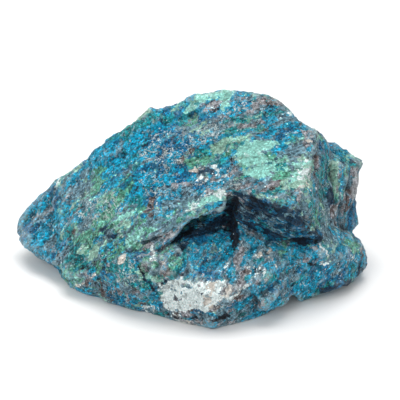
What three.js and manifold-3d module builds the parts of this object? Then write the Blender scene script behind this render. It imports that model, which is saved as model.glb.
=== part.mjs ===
// A rough hand specimen of chrysocolla: one broken lump of blue-green rock, about as wide
// as a palm, that lies on a flat base. Millimetres, +Z up, the worn front towards -Y.
// The origin is at the middle of the base.
//
// The lump is a join of blocks. A block is bounded by flat breaks, and a break is given by
// a point on it and the way it looks. Shallow folds roughen every break, and a closed grid
// is drawn tight over the whole form.

import * as THREE from 'three';
import { mergeVertices } from 'three/addons/utils/BufferGeometryUtils.js';
import { ConvexGeometry } from 'three/addons/geometries/ConvexGeometry.js';
import Module from 'manifold-3d';

// ---------------------------------------------------------------- driving dimensions

const LUMP_SIZE = [102.1, 75.1, 55.4];   // overall width, depth and height
const LUMP_HEART = [0, 2, 20];       // the point that the grid is drawn in towards
const GRID_REACH = 90;               // how far out the grid starts
const GRID_LEVELS = [7, 14, 28];     // cells along a side of the grid, coarse to fine
const SETTLE_ROUNDS = [50, 40, 30];  // how often each level is evened out
const SETTLE_SHARE = 0.7;            // how far a point moves to the middle of its neighbours
const LAST_TOUCHES = 4;              // drops onto the surface that close each level
const EDGE_ROUNDING = 1.2;           // where two breaks of a block meet
const JOIN_ROUNDING = 0.8;           // where two blocks meet
const RELIEF_SCALE = 0.6;            // depth of the folds, as a share of the depths below
const BASE_OVERSIZE = 1.5;           // what the base saws off below the lump
const NECK_INSET = 1.2;              // how far the neck stands back from the crown
const CRACK_WIDTH = 2.4;
const CRACK_FRONT = -27;
const CRACK_DEPTH = 16;
const CRACK_TOP = [11.7, 33.4];      // x and z of its upper end
const CRACK_FOOT = [10.3, 21];       // x and z of its lower end
const CRACK_LEAN = [0.6, 1];         // how far its inner edge stands over in x and in z

// ---------------------------------------------------------------- breaks of each block
// Each row is a point on the break and the way the break looks.

const HULL_BREAKS = [
  [[-51.6, 12, 9], [-19, 0, 6]],         // the left tip
  [[-45.2, 14, 17.6], [-14, 8, 12]],     // the ridge, from the tip up to the top
  [[-32.4, 12, 30.5], [-10.3, 9, 13]],
  [[-17.4, 8, 44.1], [-10, 9, 14.5]],
  [[-6, 6, 51.6], [-8, 10, 15.2]],
  [[4, 6, 55.3], [-4.4, 10, 17]],
  [[12.9, 6, 55.7], [0, 11, 17]],
  [[21.6, 5, 54.2], [7, 10, 16]],        // the ridge, down to the right
  [[29.8, 4, 48.2], [13, 8, 13]],
  [[37, 4, 42], [15, 8, 11]],
  [[46, 13, 22], [17, 8, 4]],            // the back, from right to left
  [[36, 27, 20], [10, 12, 3]],
  [[-2, 37, 18], [-2, 20, 3]],
  [[-26, 31, 18], [-9, 16, 5]],
  [[-2, 27, 38], [-3, 13, 14]],
  [[-45, 22, 12], [-14, 12, 2]],
  [[10, 36, 4], [2, 16, -9]],            // the lower edges
  [[-44, 2.2, 3.4], [-12, -5, -14]],
  [[-40, 20, 3], [-12, 9, -12]],
];

const CROWN_BREAKS = [
  [[-30, 8, 32.6], [-14, -8.9, 11.2]],          // the wing at the left tip
  [[-29.1, 8, 32.1], [-13.2, -10.6, 10.6]],     // the left front
  [[-12.6, -24, 20.6], [-8.6, -12.2, 13.4]],
  [[-12.6, -24, 20.6], [-5, -13, 14.4]],
  [[1.2, 5.3, 53.9], [-2, -11, 16.6]],          // the dome
  [[25.9, 3.4, 53.8], [2, -11.4, 16.2]],
  [[24, -12, 42], [1.6, -12.6, 15]],            // the panel at the right
  [[27.8, -22, 32.5], [3, -15, 12]],
  [[35.5, -10, 35.3], [18, -7.5, 4]],           // the right wall
];

const CROWN_LEFT_BREAKS = [
  [[-8.4, -25, 23.5], [12, -4, -20]],            // the underside over the recess
  [[-42.9, 2.7, 4.5], [-10.5, -6.5, -13.5]],     // the underside of the wing
  [[13, 0, 0], [1, 0, 0]],                       // its end, inside the right half
];

const CROWN_RIGHT_BREAKS = [
  [[12.8, -20, 37.6], [-6, -21, -8]],     // the dark wall of the recess
  [[33.6, -17, 34.6], [10, -15, 3]],      // the corner below the panel
  [[30, -19.5, 24], [2, -14, -10]],
  [[22, -16, 19.5], [0, -1, -3]],
  [[11, 0, 0], [-1, 0, 0]],               // its end, inside the left half
];

const NECK_BREAKS = [
  [[8, -12.5, 24], [-1, -9, -1]],
  [[-12, -14, 18], [-10, -6, 1]],
  [[40, -12, 5], [3, -8, -12]],
  [[46, 5, 12], [18, 3, 0]],
];

const CORE_BREAKS = [
  [[-8.4, -25, 24.3], [-12, 4, 20]],         // against the crown
  [[13.8, -14, 23.9], [0.5, -9.8, 18]],      // the two flanks of the sloping ledge
  [[13.8, -14, 23.9], [4, -9, 18]],
  [[24, -24, 18.5], [2, -14, 14]],
  [[2.6, -32.8, 14], [-2.5, -19, 2.5]],      // the pale front panel
  [[-8.4, -31, 14.2], [-10.8, -16.7, 2]],
  [[-1, -30, 0.6], [-8, -15, -12]],          // the lip below it
  [[-24.6, -19, 11.8], [-12.6, -15, 3]],     // the lower left front
  [[-12, -25.4, 3], [-8, -17, -3]],
  [[-26, -17.2, 1], [-13, -13, -4]],
  [[-36.2, -7, 1], [-18, -5, -4]],
  [[13.7, -29.8, 0.6], [8, -15, -4]],        // the undercut to the right of the panel
  [[22.2, -24, 1], [13, -9, -3]],
  [[19.7, -31, 10.5], [6, -17, 8]],
  [[27, -24, 3], [10, -3, -9]],
  [[38, 0, 10], [10, 0, -3]],
];

const RIGHT_FOOT_BREAKS = [
  [[46.1, -3, 16.2], [13, -8, 12]],
  [[21.6, -16, 19.1], [1, -9, 14]],
  [[33.5, -18, 18], [8, -13, 12]],
  [[30, -22, 12], [8, -18, 2]],
  [[43.6, -13, 10.7], [10.3, -17.1, 0]],
  [[43.6, -13, 10.7], [16, -12, 1]],
  [[45.6, -2.4, 14.8], [12, 5, 15]],
  [[50.2, -4, 9], [19, 1, 1]],
  [[49, -6, 4], [15, -5, -12]],
  [[42, -12, 2.2], [7, -8, -17]],
  [[28.4, -23, 4.6], [-5, -12, -14]],
  [[46, 9, 8], [16, 10, 2]],
  [[34, 22, 8], [5, 12, 2]],
  [[25, 0, 0], [-10, 0, -2]],
];

const SIDE_BLOCK_BREAKS = [
  [[46.2, 9, 34.6], [10, -1, 20]],
  [[45, 10, 35.3], [8, 12, 14]],
  [[45, 2, 28], [8, -13, 1]],
  [[49.8, 9, 32.4], [19, -3, -4.4]],
  [[46, 19, 22], [10, 14, 2]],
  [[34, 8, 28], [-10, 0, 0]],
  [[46.9, 4, 13.6], [6, -3, -18]],
];

const TONGUE_BREAKS = [                    // a loose-edged flake on the sloping ledge
  [[-12.6, -27, 15.3], [-7, -14, 9]],
  [[-12, -26, 17], [-10, -4, 4]],
  [[-10.6, -29, 12.3], [-12, -7, -16]],
  [[-8.4, -29.5, 12.2], [10, -8, -14]],
  [[-5.5, -27, 17], [12, -8, 4]],
  [[-10, -24, 19], [0, 2, 10]],
  [[-10, -22, 14], [0, 10, -2]],
];

const KNOB_BREAKS = [                      // a small knob low at the front
  [[22, -31, 7.5], [2, -18, 6]],
  [[25.3, -28, 6], [14, -12, 2]],
  [[22, -29, 3.6], [2, -6, -14]],
  [[21.5, -28, 9.6], [-3, -6, 16]],
  [[18, -29, 7], [-14, -8, 0]],
  [[22, -24, 7], [0, 10, 0]],
];

const NOTCH_BREAKS = [                     // the hollow under the front edge
  [[25.4, -24, 2], [-14, -4, 5]],
  [[30.8, -20, 2], [14, 3, 8]],
  [[28, -20, 5], [0, -3, 10]],
  [[28, -14, 2], [0, 10, 3]],
];

const CAVITY_BREAKS = [                    // the dark hollow under the left brow
  [[2.6, -18.9, 32], [-12, 4, 20]],
  [[-12.6, -21.5, 19], [-5, -13, 14.4]],
  [[2.6, -18.5, 21.5], [0, -4.5, -10.5]],
  [[0, -5, 24], [0, 10, 0]],
  [[10.5, -12, 24], [10, 0, 0]],
  [[-4, -18, 22], [-10, -3, 2]],
];

// Folds of the relief: the number of folds in 100 mm along each axis, and their depth.
const FOLDS = [
  [[5, 2, 3], 0.55],
  [[-3, 5, 4], 0.55],
  [[2, -4, 6], 0.45],
  [[-6, -3, 5], 0.35],
  [[4, 6, -5], 0.3],
  [[11, -5, 8], 0.2],
  [[-7, 12, 6], 0.2],
  [[6, 9, -13], 0.16],
  [[14, 3, -8], 0.14],
];
const FOLD_SHIFT = 0.37;             // how far each fold is shifted from the one before
const BEND_LENGTH = 4.8;             // the folds waver: over this length for a radian,
const BEND_DEPTH = 1.4;              // by this much,
const BEND_START = 1.3;              // from this angle

// ---------------------------------------------------------------- the form as a distance

const smoothMin = (a, b, k) => {
  const h = Math.max(k - Math.abs(a - b), 0) / k;
  return Math.min(a, b) - h * h * k / 4;
};

const smoothMax = (a, b, k) => -smoothMin(-a, -b, k);

// Breaks are kept as unit direction and offset, so that a distance is one dot product.
const planes = (breaks) => breaks.map(([[x, y, z], [a, b, c]]) => {
  const length = Math.hypot(a, b, c);
  return [a / length, b / length, c / length, (a * x + b * y + c * z) / length];
});

const blockDistance = (block, x, y, z) => {
  let far = -Infinity;
  for (const [a, b, c, offset] of block) {
    const distance = a * x + b * y + c * z - offset;
    far = far === -Infinity ? distance : smoothMax(far, distance, EDGE_ROUNDING);
  }
  return far;
};

const HULL = planes(HULL_BREAKS);
const CROWN = planes(CROWN_BREAKS);
const CROWN_HALVES = [planes(CROWN_LEFT_BREAKS), planes(CROWN_RIGHT_BREAKS)];
const NECK = planes(NECK_BREAKS);
const CORE = planes(CORE_BREAKS);
const ADDED_BLOCKS = [RIGHT_FOOT_BREAKS, SIDE_BLOCK_BREAKS, TONGUE_BREAKS, KNOB_BREAKS].map(planes);
const HOLLOWS = [NOTCH_BREAKS, CAVITY_BREAKS].map(planes);

// A folded line: it runs from -1 up to 1 and back once in each unit.
const fold = (t) => Math.abs(t - Math.floor(t) - 0.5) * 4 - 1;

const relief = (x, y, z) => {
  const u = x + BEND_DEPTH * Math.sin(y / BEND_LENGTH + BEND_START);
  const v = y + BEND_DEPTH * Math.sin(z / BEND_LENGTH + BEND_START);
  const w = z + BEND_DEPTH * Math.sin(x / BEND_LENGTH + BEND_START);
  let height = 0;
  FOLDS.forEach(([[a, b, c], depth], i) => {
    height += depth * fold((a * u + b * v + c * w) / 100 + FOLD_SHIFT * i);
  });
  return height * RELIEF_SCALE;
};

// Distance from the surface of the lump: below 0 inside it, above 0 outside.
const lumpDistance = (x, y, z) => {
  const hull = blockDistance(HULL, x, y, z);
  const crown = blockDistance(CROWN, x, y, z);
  const within = (distance) => smoothMax(distance, hull, EDGE_ROUNDING);
  const joined = [within(blockDistance(CORE, x, y, z))];
  for (const half of CROWN_HALVES) {
    joined.push(within(smoothMax(crown, blockDistance(half, x, y, z), EDGE_ROUNDING)));
  }
  joined.push(within(smoothMax(crown + NECK_INSET, blockDistance(NECK, x, y, z), EDGE_ROUNDING)));
  for (const block of ADDED_BLOCKS) joined.push(blockDistance(block, x, y, z));
  const solid = joined.reduce((a, b) => smoothMin(a, b, JOIN_ROUNDING));
  const hollowed = HOLLOWS.reduce(
    (kept, hollow) => smoothMax(kept, -blockDistance(hollow, x, y, z), JOIN_ROUNDING),
    solid - relief(x, y, z),
  );
  return Math.max(hollowed, -BASE_OVERSIZE - z);
};

// ---------------------------------------------------------------- the closed grid

// A cube's surface as a lattice: whole numbers from 0 to `cells` on each axis, with shared
// points where two sides meet. Gives the points and the square cells between them.
const cubeLattice = (cells) => {
  const points = [];
  const numberOf = new Map();
  const squares = [];
  const pointNumber = (i, j, k) => {
    const key = `${i},${j},${k}`;
    if (!numberOf.has(key)) {
      numberOf.set(key, points.length);
      points.push([i, j, k]);
    }
    return numberOf.get(key);
  };
  for (let axis = 0; axis < 3; axis += 1) {
    for (const side of [0, cells]) {
      const at = (u, v) => {
        const spot = [0, 0, 0];
        spot[axis] = side;
        spot[(axis + 1) % 3] = u;
        spot[(axis + 2) % 3] = v;
        return pointNumber(...spot);
      };
      for (let u = 0; u < cells; u += 1) {
        for (let v = 0; v < cells; v += 1) {
          const square = [at(u, v), at(u + 1, v), at(u + 1, v + 1), at(u, v + 1)];
          squares.push(side === 0 ? square.reverse() : square);
        }
      }
    }
  }
  return { points, numberOf, squares };
};

// The first places: out from the heart of the lump along each point's direction.
const roundStart = ({ points }, cells) => points.map((spot) => {
  const direction = new THREE.Vector3(...spot).divideScalar(cells / 2).subScalar(1).normalize();
  return direction.multiplyScalar(GRID_REACH).add(new THREE.Vector3(...LUMP_HEART));
});

// Places for a lattice twice as fine: each new point lies midway between its old neighbours.
const refined = (lattice, places, finer) => finer.points.map((spot) => {
  const place = new THREE.Vector3();
  let found = 0;
  const ends = spot.map((value) => (value % 2 ? [value - 1, value + 1] : [value]));
  for (const i of ends[0]) {
    for (const j of ends[1]) {
      for (const k of ends[2]) {
        place.add(places[lattice.numberOf.get(`${i / 2},${j / 2},${k / 2}`)]);
        found += 1;
      }
    }
  }
  return place.divideScalar(found);
});

const PROBE = 0.05;                  // step for slopes
const LONGEST_STEP = 4;              // a point moves no further than this at once
const GENTLEST_SLOPE = 0.3;          // a slope counts as no gentler than this, squared

// Moves a point towards the surface, straight down the slope of the distance.
const dropOn = (place) => {
  const { x, y, z } = place;
  const distance = lumpDistance(x, y, z);
  const slope = new THREE.Vector3(
    lumpDistance(x + PROBE, y, z) - distance,
    lumpDistance(x, y + PROBE, z) - distance,
    lumpDistance(x, y, z + PROBE) - distance,
  ).divideScalar(PROBE);
  const steep = Math.max(slope.lengthSq(), GENTLEST_SLOPE);
  place.addScaledVector(slope, Math.max(-LONGEST_STEP, Math.min(LONGEST_STEP, -distance / steep)));
};

// Evens the grid out: each point moves to the middle of its neighbours, then back down on
// the surface, so that the grid slides into the recess and spreads evenly there.
const settle = ({ points, squares }, places, rounds) => {
  for (let round = 0; round < rounds; round += 1) {
    const middles = points.map(() => new THREE.Vector3());
    const counts = points.map(() => 0);
    for (const square of squares) {
      square.forEach((corner, i) => {
        for (const next of [square[(i + 1) % 4], square[(i + 3) % 4]]) {
          middles[corner].add(places[next]);
          counts[corner] += 1;
        }
      });
    }
    places.forEach((place, i) => {
      place.lerp(middles[i].divideScalar(counts[i]), SETTLE_SHARE);
      dropOn(place);
    });
  }
  for (let touch = 0; touch < LAST_TOUCHES; touch += 1) places.forEach(dropOn);
};

const tightGrid = () => {
  let lattice = cubeLattice(GRID_LEVELS[0]);
  let places = roundStart(lattice, GRID_LEVELS[0]);
  GRID_LEVELS.forEach((cells, level) => {
    if (level > 0) {
      const finer = cubeLattice(cells);
      places = refined(lattice, places, finer);
      lattice = finer;
    }
    settle(lattice, places, SETTLE_ROUNDS[level]);
  });
  return { lattice, places };
};

// Each square becomes two triangles, parted along its shorter diagonal.
const gridGeometry = ({ lattice, places }) => {
  const triangles = lattice.squares.flatMap(([a, b, c, d]) => {
    const first = places[a].distanceTo(places[c]);
    const second = places[b].distanceTo(places[d]);
    return first < second ? [a, b, c, a, c, d] : [a, b, d, b, c, d];
  });
  const geometry = new THREE.BufferGeometry();
  const flat = places.flatMap((place) => place.toArray());
  geometry.setAttribute('position', new THREE.Float32BufferAttribute(flat, 3));
  geometry.setIndex(triangles);
  return geometry;
};

// ---------------------------------------------------------------- sawn base and crack

const wasm = await Module();
wasm.setup();

const toSolid = (geometry) => {
  const bare = geometry.clone();
  bare.deleteAttribute('normal');
  bare.deleteAttribute('uv');
  const merged = mergeVertices(bare);
  return new wasm.Manifold(new wasm.Mesh({
    numProp: 3,
    vertProperties: new Float32Array(merged.attributes.position.array),
    triVerts: new Uint32Array(merged.index.array),
  }));
};

const toGeometry = (solid) => {
  const mesh = solid.getMesh();
  const geometry = new THREE.BufferGeometry();
  geometry.setAttribute('position', new THREE.BufferAttribute(mesh.vertProperties, 3));
  geometry.setIndex(new THREE.BufferAttribute(mesh.triVerts, 1));
  return geometry;
};

// The crack: an upright wedge, wide at the front and closing to nothing deep inside.
const crackGeometry = () => {
  const back = CRACK_FRONT + CRACK_DEPTH;
  const corners = [];
  for (const [x, z] of [CRACK_TOP, CRACK_FOOT]) {
    corners.push(new THREE.Vector3(x - CRACK_WIDTH / 2, CRACK_FRONT, z));
    corners.push(new THREE.Vector3(x + CRACK_WIDTH / 2, CRACK_FRONT, z));
    corners.push(new THREE.Vector3(x + CRACK_LEAN[0], back, z + CRACK_LEAN[1]));
  }
  return new ConvexGeometry(corners);
};

const GROUND_SIZE = [200, 200, 20];

// The grid cuts the sharpest tips short, so the sawn lump is stretched to its full size.
const lumpGeometry = () => {
  const whole = toSolid(gridGeometry(tightGrid()));
  const ground = new THREE.BoxGeometry(...GROUND_SIZE).translate(0, 0, -GROUND_SIZE[2] / 2);
  const sawn = whole.subtract(toSolid(ground)).subtract(toSolid(crackGeometry()));
  const geometry = toGeometry(sawn);
  geometry.computeBoundingBox();
  const middle = geometry.boundingBox.getCenter(new THREE.Vector3());
  const size = geometry.boundingBox.getSize(new THREE.Vector3());
  const stretch = new THREE.Vector3(...LUMP_SIZE).divide(size);
  geometry.translate(-middle.x, -middle.y, -geometry.boundingBox.min.z);
  return geometry.scale(...stretch);
};

// ---------------------------------------------------------------- the specimen

const rock = new THREE.Mesh(
  lumpGeometry(),
  new THREE.MeshStandardMaterial({ color: 0x2f7f96, roughness: 0.8, metalness: 0 }),
);
rock.name = 'chrysocolla_rock';

const specimen = new THREE.Group();
specimen.add(rock);

export default specimen;
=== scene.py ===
"""The looks of a rough chrysocolla specimen: one broken lump of blue-green rock.

The lump is a join of blocks bounded by flat breaks. A closed grid is drawn tight over that
form, then roughened with broken and streaked grain, all as whole numpy arrays. Each point
of the grid keeps its share of each mineral, and the material parts them into crisp grains.
"""
import math

import bpy
import numpy as np
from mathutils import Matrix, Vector


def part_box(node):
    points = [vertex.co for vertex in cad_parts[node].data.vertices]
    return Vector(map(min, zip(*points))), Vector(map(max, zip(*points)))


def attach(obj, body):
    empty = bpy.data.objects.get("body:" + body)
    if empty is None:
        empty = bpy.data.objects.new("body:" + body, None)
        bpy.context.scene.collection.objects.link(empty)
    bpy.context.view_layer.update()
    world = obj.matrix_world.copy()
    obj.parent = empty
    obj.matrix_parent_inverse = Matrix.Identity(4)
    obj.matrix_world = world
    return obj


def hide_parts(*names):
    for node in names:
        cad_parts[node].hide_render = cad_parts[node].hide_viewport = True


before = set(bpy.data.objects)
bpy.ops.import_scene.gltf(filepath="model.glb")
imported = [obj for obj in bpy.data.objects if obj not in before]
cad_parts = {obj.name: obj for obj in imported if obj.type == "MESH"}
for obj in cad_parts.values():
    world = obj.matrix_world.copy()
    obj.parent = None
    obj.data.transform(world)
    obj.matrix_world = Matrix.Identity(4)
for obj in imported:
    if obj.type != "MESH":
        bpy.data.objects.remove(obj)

bl_info = {
    "name": "Chrysocolla Specimen",
    "version": (1, 0, 0),
    "blender": (4, 5, 0),
    "location": "View3D > Sidebar > Specimen",
    "description": "Builds a rough lump of chrysocolla and a small studio for it",
    "category": "Add Mesh",
}

# ------------------------------------------------------------------ what the frame gives

MM = 0.001
NODE = "chrysocolla_rock"
LOW, HIGH = (np.array(corner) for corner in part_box(NODE))

# ------------------------------------------------------------------ breaks of each block
# Millimetres. Each row is a point on the break and the way the break looks.

HULL_BREAKS = (
    ((-51.6, 12, 9), (-19, 0, 6)),              # the left tip
    ((-45.2, 14, 17.6), (-14, 8, 12)),          # the ridge, from the tip up to the top
    ((-32.4, 12, 30.5), (-10.3, 9, 13)),
    ((-17.4, 8, 44.1), (-10, 9, 14.5)),
    ((-6, 6, 51.6), (-8, 10, 15.2)),
    ((4, 6, 55.3), (-4.4, 10, 17)),
    ((12.9, 6, 55.7), (0, 11, 17)),
    ((21.6, 5, 54.2), (7, 10, 16)),             # the ridge, down to the right
    ((29.8, 4, 48.2), (13, 8, 13)),
    ((37, 4, 42), (15, 8, 11)),
    ((46, 13, 22), (17, 8, 4)),                 # the back, from right to left
    ((36, 27, 20), (10, 12, 3)),
    ((-2, 37, 18), (-2, 20, 3)),
    ((-26, 31, 18), (-9, 16, 5)),
    ((-2, 27, 38), (-3, 13, 14)),
    ((-45, 22, 12), (-14, 12, 2)),
    ((10, 36, 4), (2, 16, -9)),                 # the lower edges
    ((-44, 2.2, 3.4), (-12, -5, -14)),
    ((-40, 20, 3), (-12, 9, -12)),
)
CROWN_BREAKS = (
    ((-30, 8, 32.6), (-14, -8.9, 11.2)),        # the wing at the left tip
    ((-29.1, 8, 32.1), (-13.2, -10.6, 10.6)),   # the left front
    ((-12.6, -24, 20.6), (-8.6, -12.2, 13.4)),
    ((-12.6, -24, 20.6), (-5, -13, 14.4)),
    ((1.2, 5.3, 53.9), (-2, -11, 16.6)),        # the dome
    ((25.9, 3.4, 53.8), (2, -11.4, 16.2)),
    ((24, -12, 42), (1.6, -12.6, 15)),          # the panel at the right
    ((27.8, -22, 32.5), (3, -15, 12)),
    ((35.5, -10, 35.3), (18, -7.5, 4)),         # the right wall
)
CROWN_LEFT_BREAKS = (
    ((-8.4, -25, 23.5), (12, -4, -20)),         # the underside over the recess
    ((-42.9, 2.7, 4.5), (-10.5, -6.5, -13.5)),  # the underside of the wing
    ((13, 0, 0), (1, 0, 0)),                    # its end, inside the right half
)
CROWN_RIGHT_BREAKS = (
    ((12.8, -20, 37.6), (-6, -21, -8)),         # the dark wall of the recess
    ((33.6, -17, 34.6), (10, -15, 3)),          # the corner below the panel
    ((30, -19.5, 24), (2, -14, -10)),
    ((22, -16, 19.5), (0, -1, -3)),
    ((11, 0, 0), (-1, 0, 0)),                   # its end, inside the left half
)
BROW_BREAKS = (                                 # the low end of the left brow, by the crack
    ((-2, -25, 27.2), (7, -4, -20)),
    ((10.6, -16, 30), (10, 1, -1.2)),
    ((0, -14, 30), (0, 10, 0)),
    ((0, -20, 34), (0, -4, 10)),
    ((-4, -20, 27), (-10, 0, -4)),
)
BRIDGE_BREAKS = (                               # the brow runs down into the ledge here
    ((-5.7, -21.2, 24.6), (-8, -22, 15.5)),
    ((-2.7, -21, 24.9), (9.4, -4.2, -9.1)),
    ((-11.5, -20.3, 23), (-10, -6, 2)),
    ((-8, -18, 28), (0, 0, 10)),
    ((-8, -12, 22), (0, 10, 0)),
    ((-8, -22, 16), (0, 0, -10)),
)
NECK_BREAKS = (
    ((8, -12.5, 24), (-1, -9, -1)),
    ((-12, -14, 18), (-10, -6, 1)),
    ((40, -12, 5), (3, -8, -12)),
    ((46, 5, 12), (18, 3, 0)),
)
CORE_BREAKS = (
    ((-8.4, -25, 24.3), (-12, 4, 20)),          # against the crown
    ((13.8, -14, 23.9), (0.5, -9.8, 18)),       # the two flanks of the sloping ledge
    ((13.8, -14, 23.9), (4, -9, 18)),
    ((24, -24, 18.5), (2, -14, 14)),
    ((2.6, -32.8, 14), (-2.5, -19, 2.5)),       # the pale front panel
    ((-8.4, -31, 14.2), (-10.8, -16.7, 2)),
    ((-1, -30, 0.6), (-8, -15, -12)),           # the lip below it
    ((-24.6, -19, 11.8), (-12.6, -15, 3)),      # the lower left front
    ((-12, -25.4, 3), (-8, -17, -3)),
    ((-26, -17.2, 1), (-13, -13, -4)),
    ((-36.2, -7, 1), (-18, -5, -4)),
    ((13.7, -29.8, 0.6), (8, -15, -4)),         # the undercut to the right of the panel
    ((22.2, -24, 1), (13, -9, -3)),
    ((19.7, -31, 10.5), (6, -17, 8)),
    ((27, -24, 3), (10, -3, -9)),
    ((38, 0, 10), (10, 0, -3)),
)
RIGHT_FOOT_BREAKS = (
    ((46.1, -3, 16.2), (13, -8, 12)),
    ((21.6, -16, 19.1), (1, -9, 14)),
    ((33.5, -18, 18), (8, -13, 12)),
    ((30, -22, 12), (8, -18, 2)),
    ((43.6, -13, 10.7), (10.3, -17.1, 0)),
    ((43.6, -13, 10.7), (16, -12, 1)),
    ((45.6, -2.4, 14.8), (12, 5, 15)),
    ((50.2, -4, 9), (19, 1, 1)),
    ((49, -6, 4), (15, -5, -12)),
    ((42, -12, 2.2), (7, -8, -17)),
    ((28.4, -23, 4.6), (-5, -12, -14)),
    ((46, 9, 8), (16, 10, 2)),
    ((34, 22, 8), (5, 12, 2)),
    ((25, 0, 0), (-10, 0, -2)),
)
SIDE_BLOCK_BREAKS = (
    ((46.2, 9, 34.6), (10, -1, 20)),
    ((45, 10, 35.3), (8, 12, 14)),
    ((45, 2, 28), (8, -13, 1)),
    ((49.8, 9, 32.4), (19, -3, -4.4)),
    ((46, 19, 22), (10, 14, 2)),
    ((34, 8, 28), (-10, 0, 0)),
    ((46.9, 4, 13.6), (6, -3, -18)),
)
TONGUE_BREAKS = (                               # a loose-edged flake on the sloping ledge
    ((-12.6, -27, 15.3), (-7, -14, 9)),
    ((-12, -26, 17), (-10, -4, 4)),
    ((-10.6, -29, 12.3), (-12, -7, -16)),
    ((-8.4, -29.5, 12.2), (10, -8, -14)),
    ((-5.5, -27, 17), (12, -8, 4)),
    ((-10, -24, 19), (0, 2, 10)),
    ((-10, -22, 14), (0, 10, -2)),
)
KNOB_BREAKS = (                                 # a small knob low at the front
    ((22, -31, 7.5), (2, -18, 6)),
    ((25.3, -28, 6), (14, -12, 2)),
    ((22, -29, 3.6), (2, -6, -14)),
    ((21.5, -28, 9.6), (-3, -6, 16)),
    ((18, -29, 7), (-14, -8, 0)),
    ((22, -24, 7), (0, 10, 0)),
)
NOTCH_BREAKS = (                                # the hollow under the front edge
    ((25.4, -24, 2), (-14, -4, 5)),
    ((30.8, -20, 2), (14, 3, 8)),
    ((28, -20, 5), (0, -3, 10)),
    ((28, -14, 2), (0, 10, 3)),
)
CAVITY_BREAKS = (                               # the dark hollow under the left brow
    ((2.6, -18.9, 29.4), (-12, 4, 20)),
    ((-2, -25, 27.9), (-7, 4, 20)),
    ((-12.6, -21.5, 19), (-5, -13, 14.4)),
    ((2.6, -21.5, 20), (-0.3, 4.2, -10)),
    ((0, -12.5, 24), (0, 10, 0)),
    ((12.6, -16, 30), (10, 1, -1.2)),
    ((-4, -18, 22), (-10, -3, 2)),
)
CRACK_BREAKS = (                                # the upright crack in the recess
    ((12.6, -16, 30), (10, 1, -1.2)),
    ((10.2, -16, 30), (-10, -1, 1.2)),
    ((11, -8, 30), (0, 10, 2)),
    ((11, -20.5, 33.4), (0, -2, 10)),
    ((11, -16, 22.3), (0, -4, -10)),
)

# Folds of the relief: the number of folds in 100 mm along each axis, and their depth in mm.
FOLDS = (
    ((5, 2, 3), 0.55),
    ((-3, 5, 4), 0.55),
    ((2, -4, 6), 0.45),
    ((-6, -3, 5), 0.35),
    ((4, 6, -5), 0.3),
    ((11, -5, 8), 0.2),
    ((-7, 12, 6), 0.2),
    ((6, 9, -13), 0.16),
    ((14, 3, -8), 0.14),
)
FOLD_SHIFT = 0.37                # how far each fold is shifted from the one before
BEND_LENGTH = 4.8                # the folds waver: over this length for a radian,
BEND_DEPTH = 1.4                 # by this much
BEND_START = 1.3                 # and from this angle, in radians

SWAY_SIZE = 4.5                  # the blocks' edges sway: in lumps of this size,
SWAY_PUSH = 0.45                 # by this much
SWAY_SEEDS = (71, 72, 73)

LUMP_HEART = (0, 2, 20)          # the point that the grid is drawn in towards
GRID_REACH = 90                  # how far out the grid starts
CAST_STEPS = 40                  # steps that each point of the first grid takes inwards
SETTLE_ROUNDS = (20, 14, 8)      # at a quarter of the cells, at half of them, at all
BLOCK_ROUNDING = 0.9             # where two breaks of a block meet
JOIN_ROUNDING = 0.8              # where two blocks meet
CRACK_ROUNDING = 0.5             # along the edges of the crack
REST_ROUNDING = 0.3              # round the flat rest face
NECK_INSET = 1.2                 # how far the neck stands back from the crown

CAST_SHARE = 0.7                 # share of the distance that each of those steps covers
EVENING = 0.7                    # how far a point moves to the middle of its neighbours
PROBE = 0.05                     # how far off the form is felt for its slope
GENTLEST_SLOPE = 0.3             # least square of the slope that a drop reckons with
LONGEST_DROP = 4                 # the farthest that a point drops at once
LAST_DROPS = 3                   # drops at the end, with no evening between them
LEAST_LENGTH = 1e-12             # of a normal, so that nothing is divided by 0

SCATTER = (127.1, 311.7, 74.7)   # factors that scatter the cells of a lattice
SCATTER_SEED = 17.3              # how far apart two seeds scatter
SCATTER_SCALE = 43758.5453       # large, so that the fraction left over looks like chance
SEED_SHIFT = 3.7                 # how far apart the lattices of two seeds lie
LAYER_STRENGTH = 0.55            # of each layer of lumps, as a share of the one before
GRAIN_TILT = 1.6                 # how steeply the broken grains tilt
BORDER_RISE = 6                  # how fast they rise from their borders

# Sheets of broken grains: their size, their depth as a share of the facet depth, how far
# soft lumps push their borders to and fro, and their seed.
BROKEN_GRAINS = (
    (5.0, 1.0, 0.8, 1),
    (2.2, 0.45, 0.0, 2),
)
BORDER_LUMPS = (3.0, 5)          # size and seed of those lumps
STREAKED_RELIEF = (1.8, 3, 3)    # size, layers and seed of the streaked grain over them
SMOOTH_FOOT = 1.5                # the roughness fades away over this height from the rest

# ------------------------------------------------------------------ minerals

# Each mineral's colour, in sRGB from 0 to 255. The order is that of the layers, bottom first.
MINERALS = {
    "slate": (104, 140, 156),
    "azure": (0, 152, 188),
    "deep": (0, 106, 150),
    "teal": (16, 140, 148),
    "green": (92, 168, 142),
    "sage": (152, 196, 178),
    "mint": (152, 220, 208),
    "lilac": (150, 150, 156),
    "brown": (104, 92, 90),
    # navy: a dark mineral, also laid as painted shade in the recess
    "navy": (18, 54, 80),
    "pale": (236, 250, 250),
    "cream": (222, 215, 205),
    # ink: dark specks, and also the colour of painted shade in the crack, the hollows and under the
    # flake's edges
    "ink": (14, 20, 32),
}
MINERAL_NAMES = list(MINERALS)
DARK_MINERALS = ("navy", "ink")                       # no pale ridges (rubbed edges with painted highlight) and no flecks show on these
CALM_MINERALS = ("mint", "sage", "pale", "cream")     # and little grain shows on these
SHEETS = 4                       # the layers lie in so many sheets of three, one to each field
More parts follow.
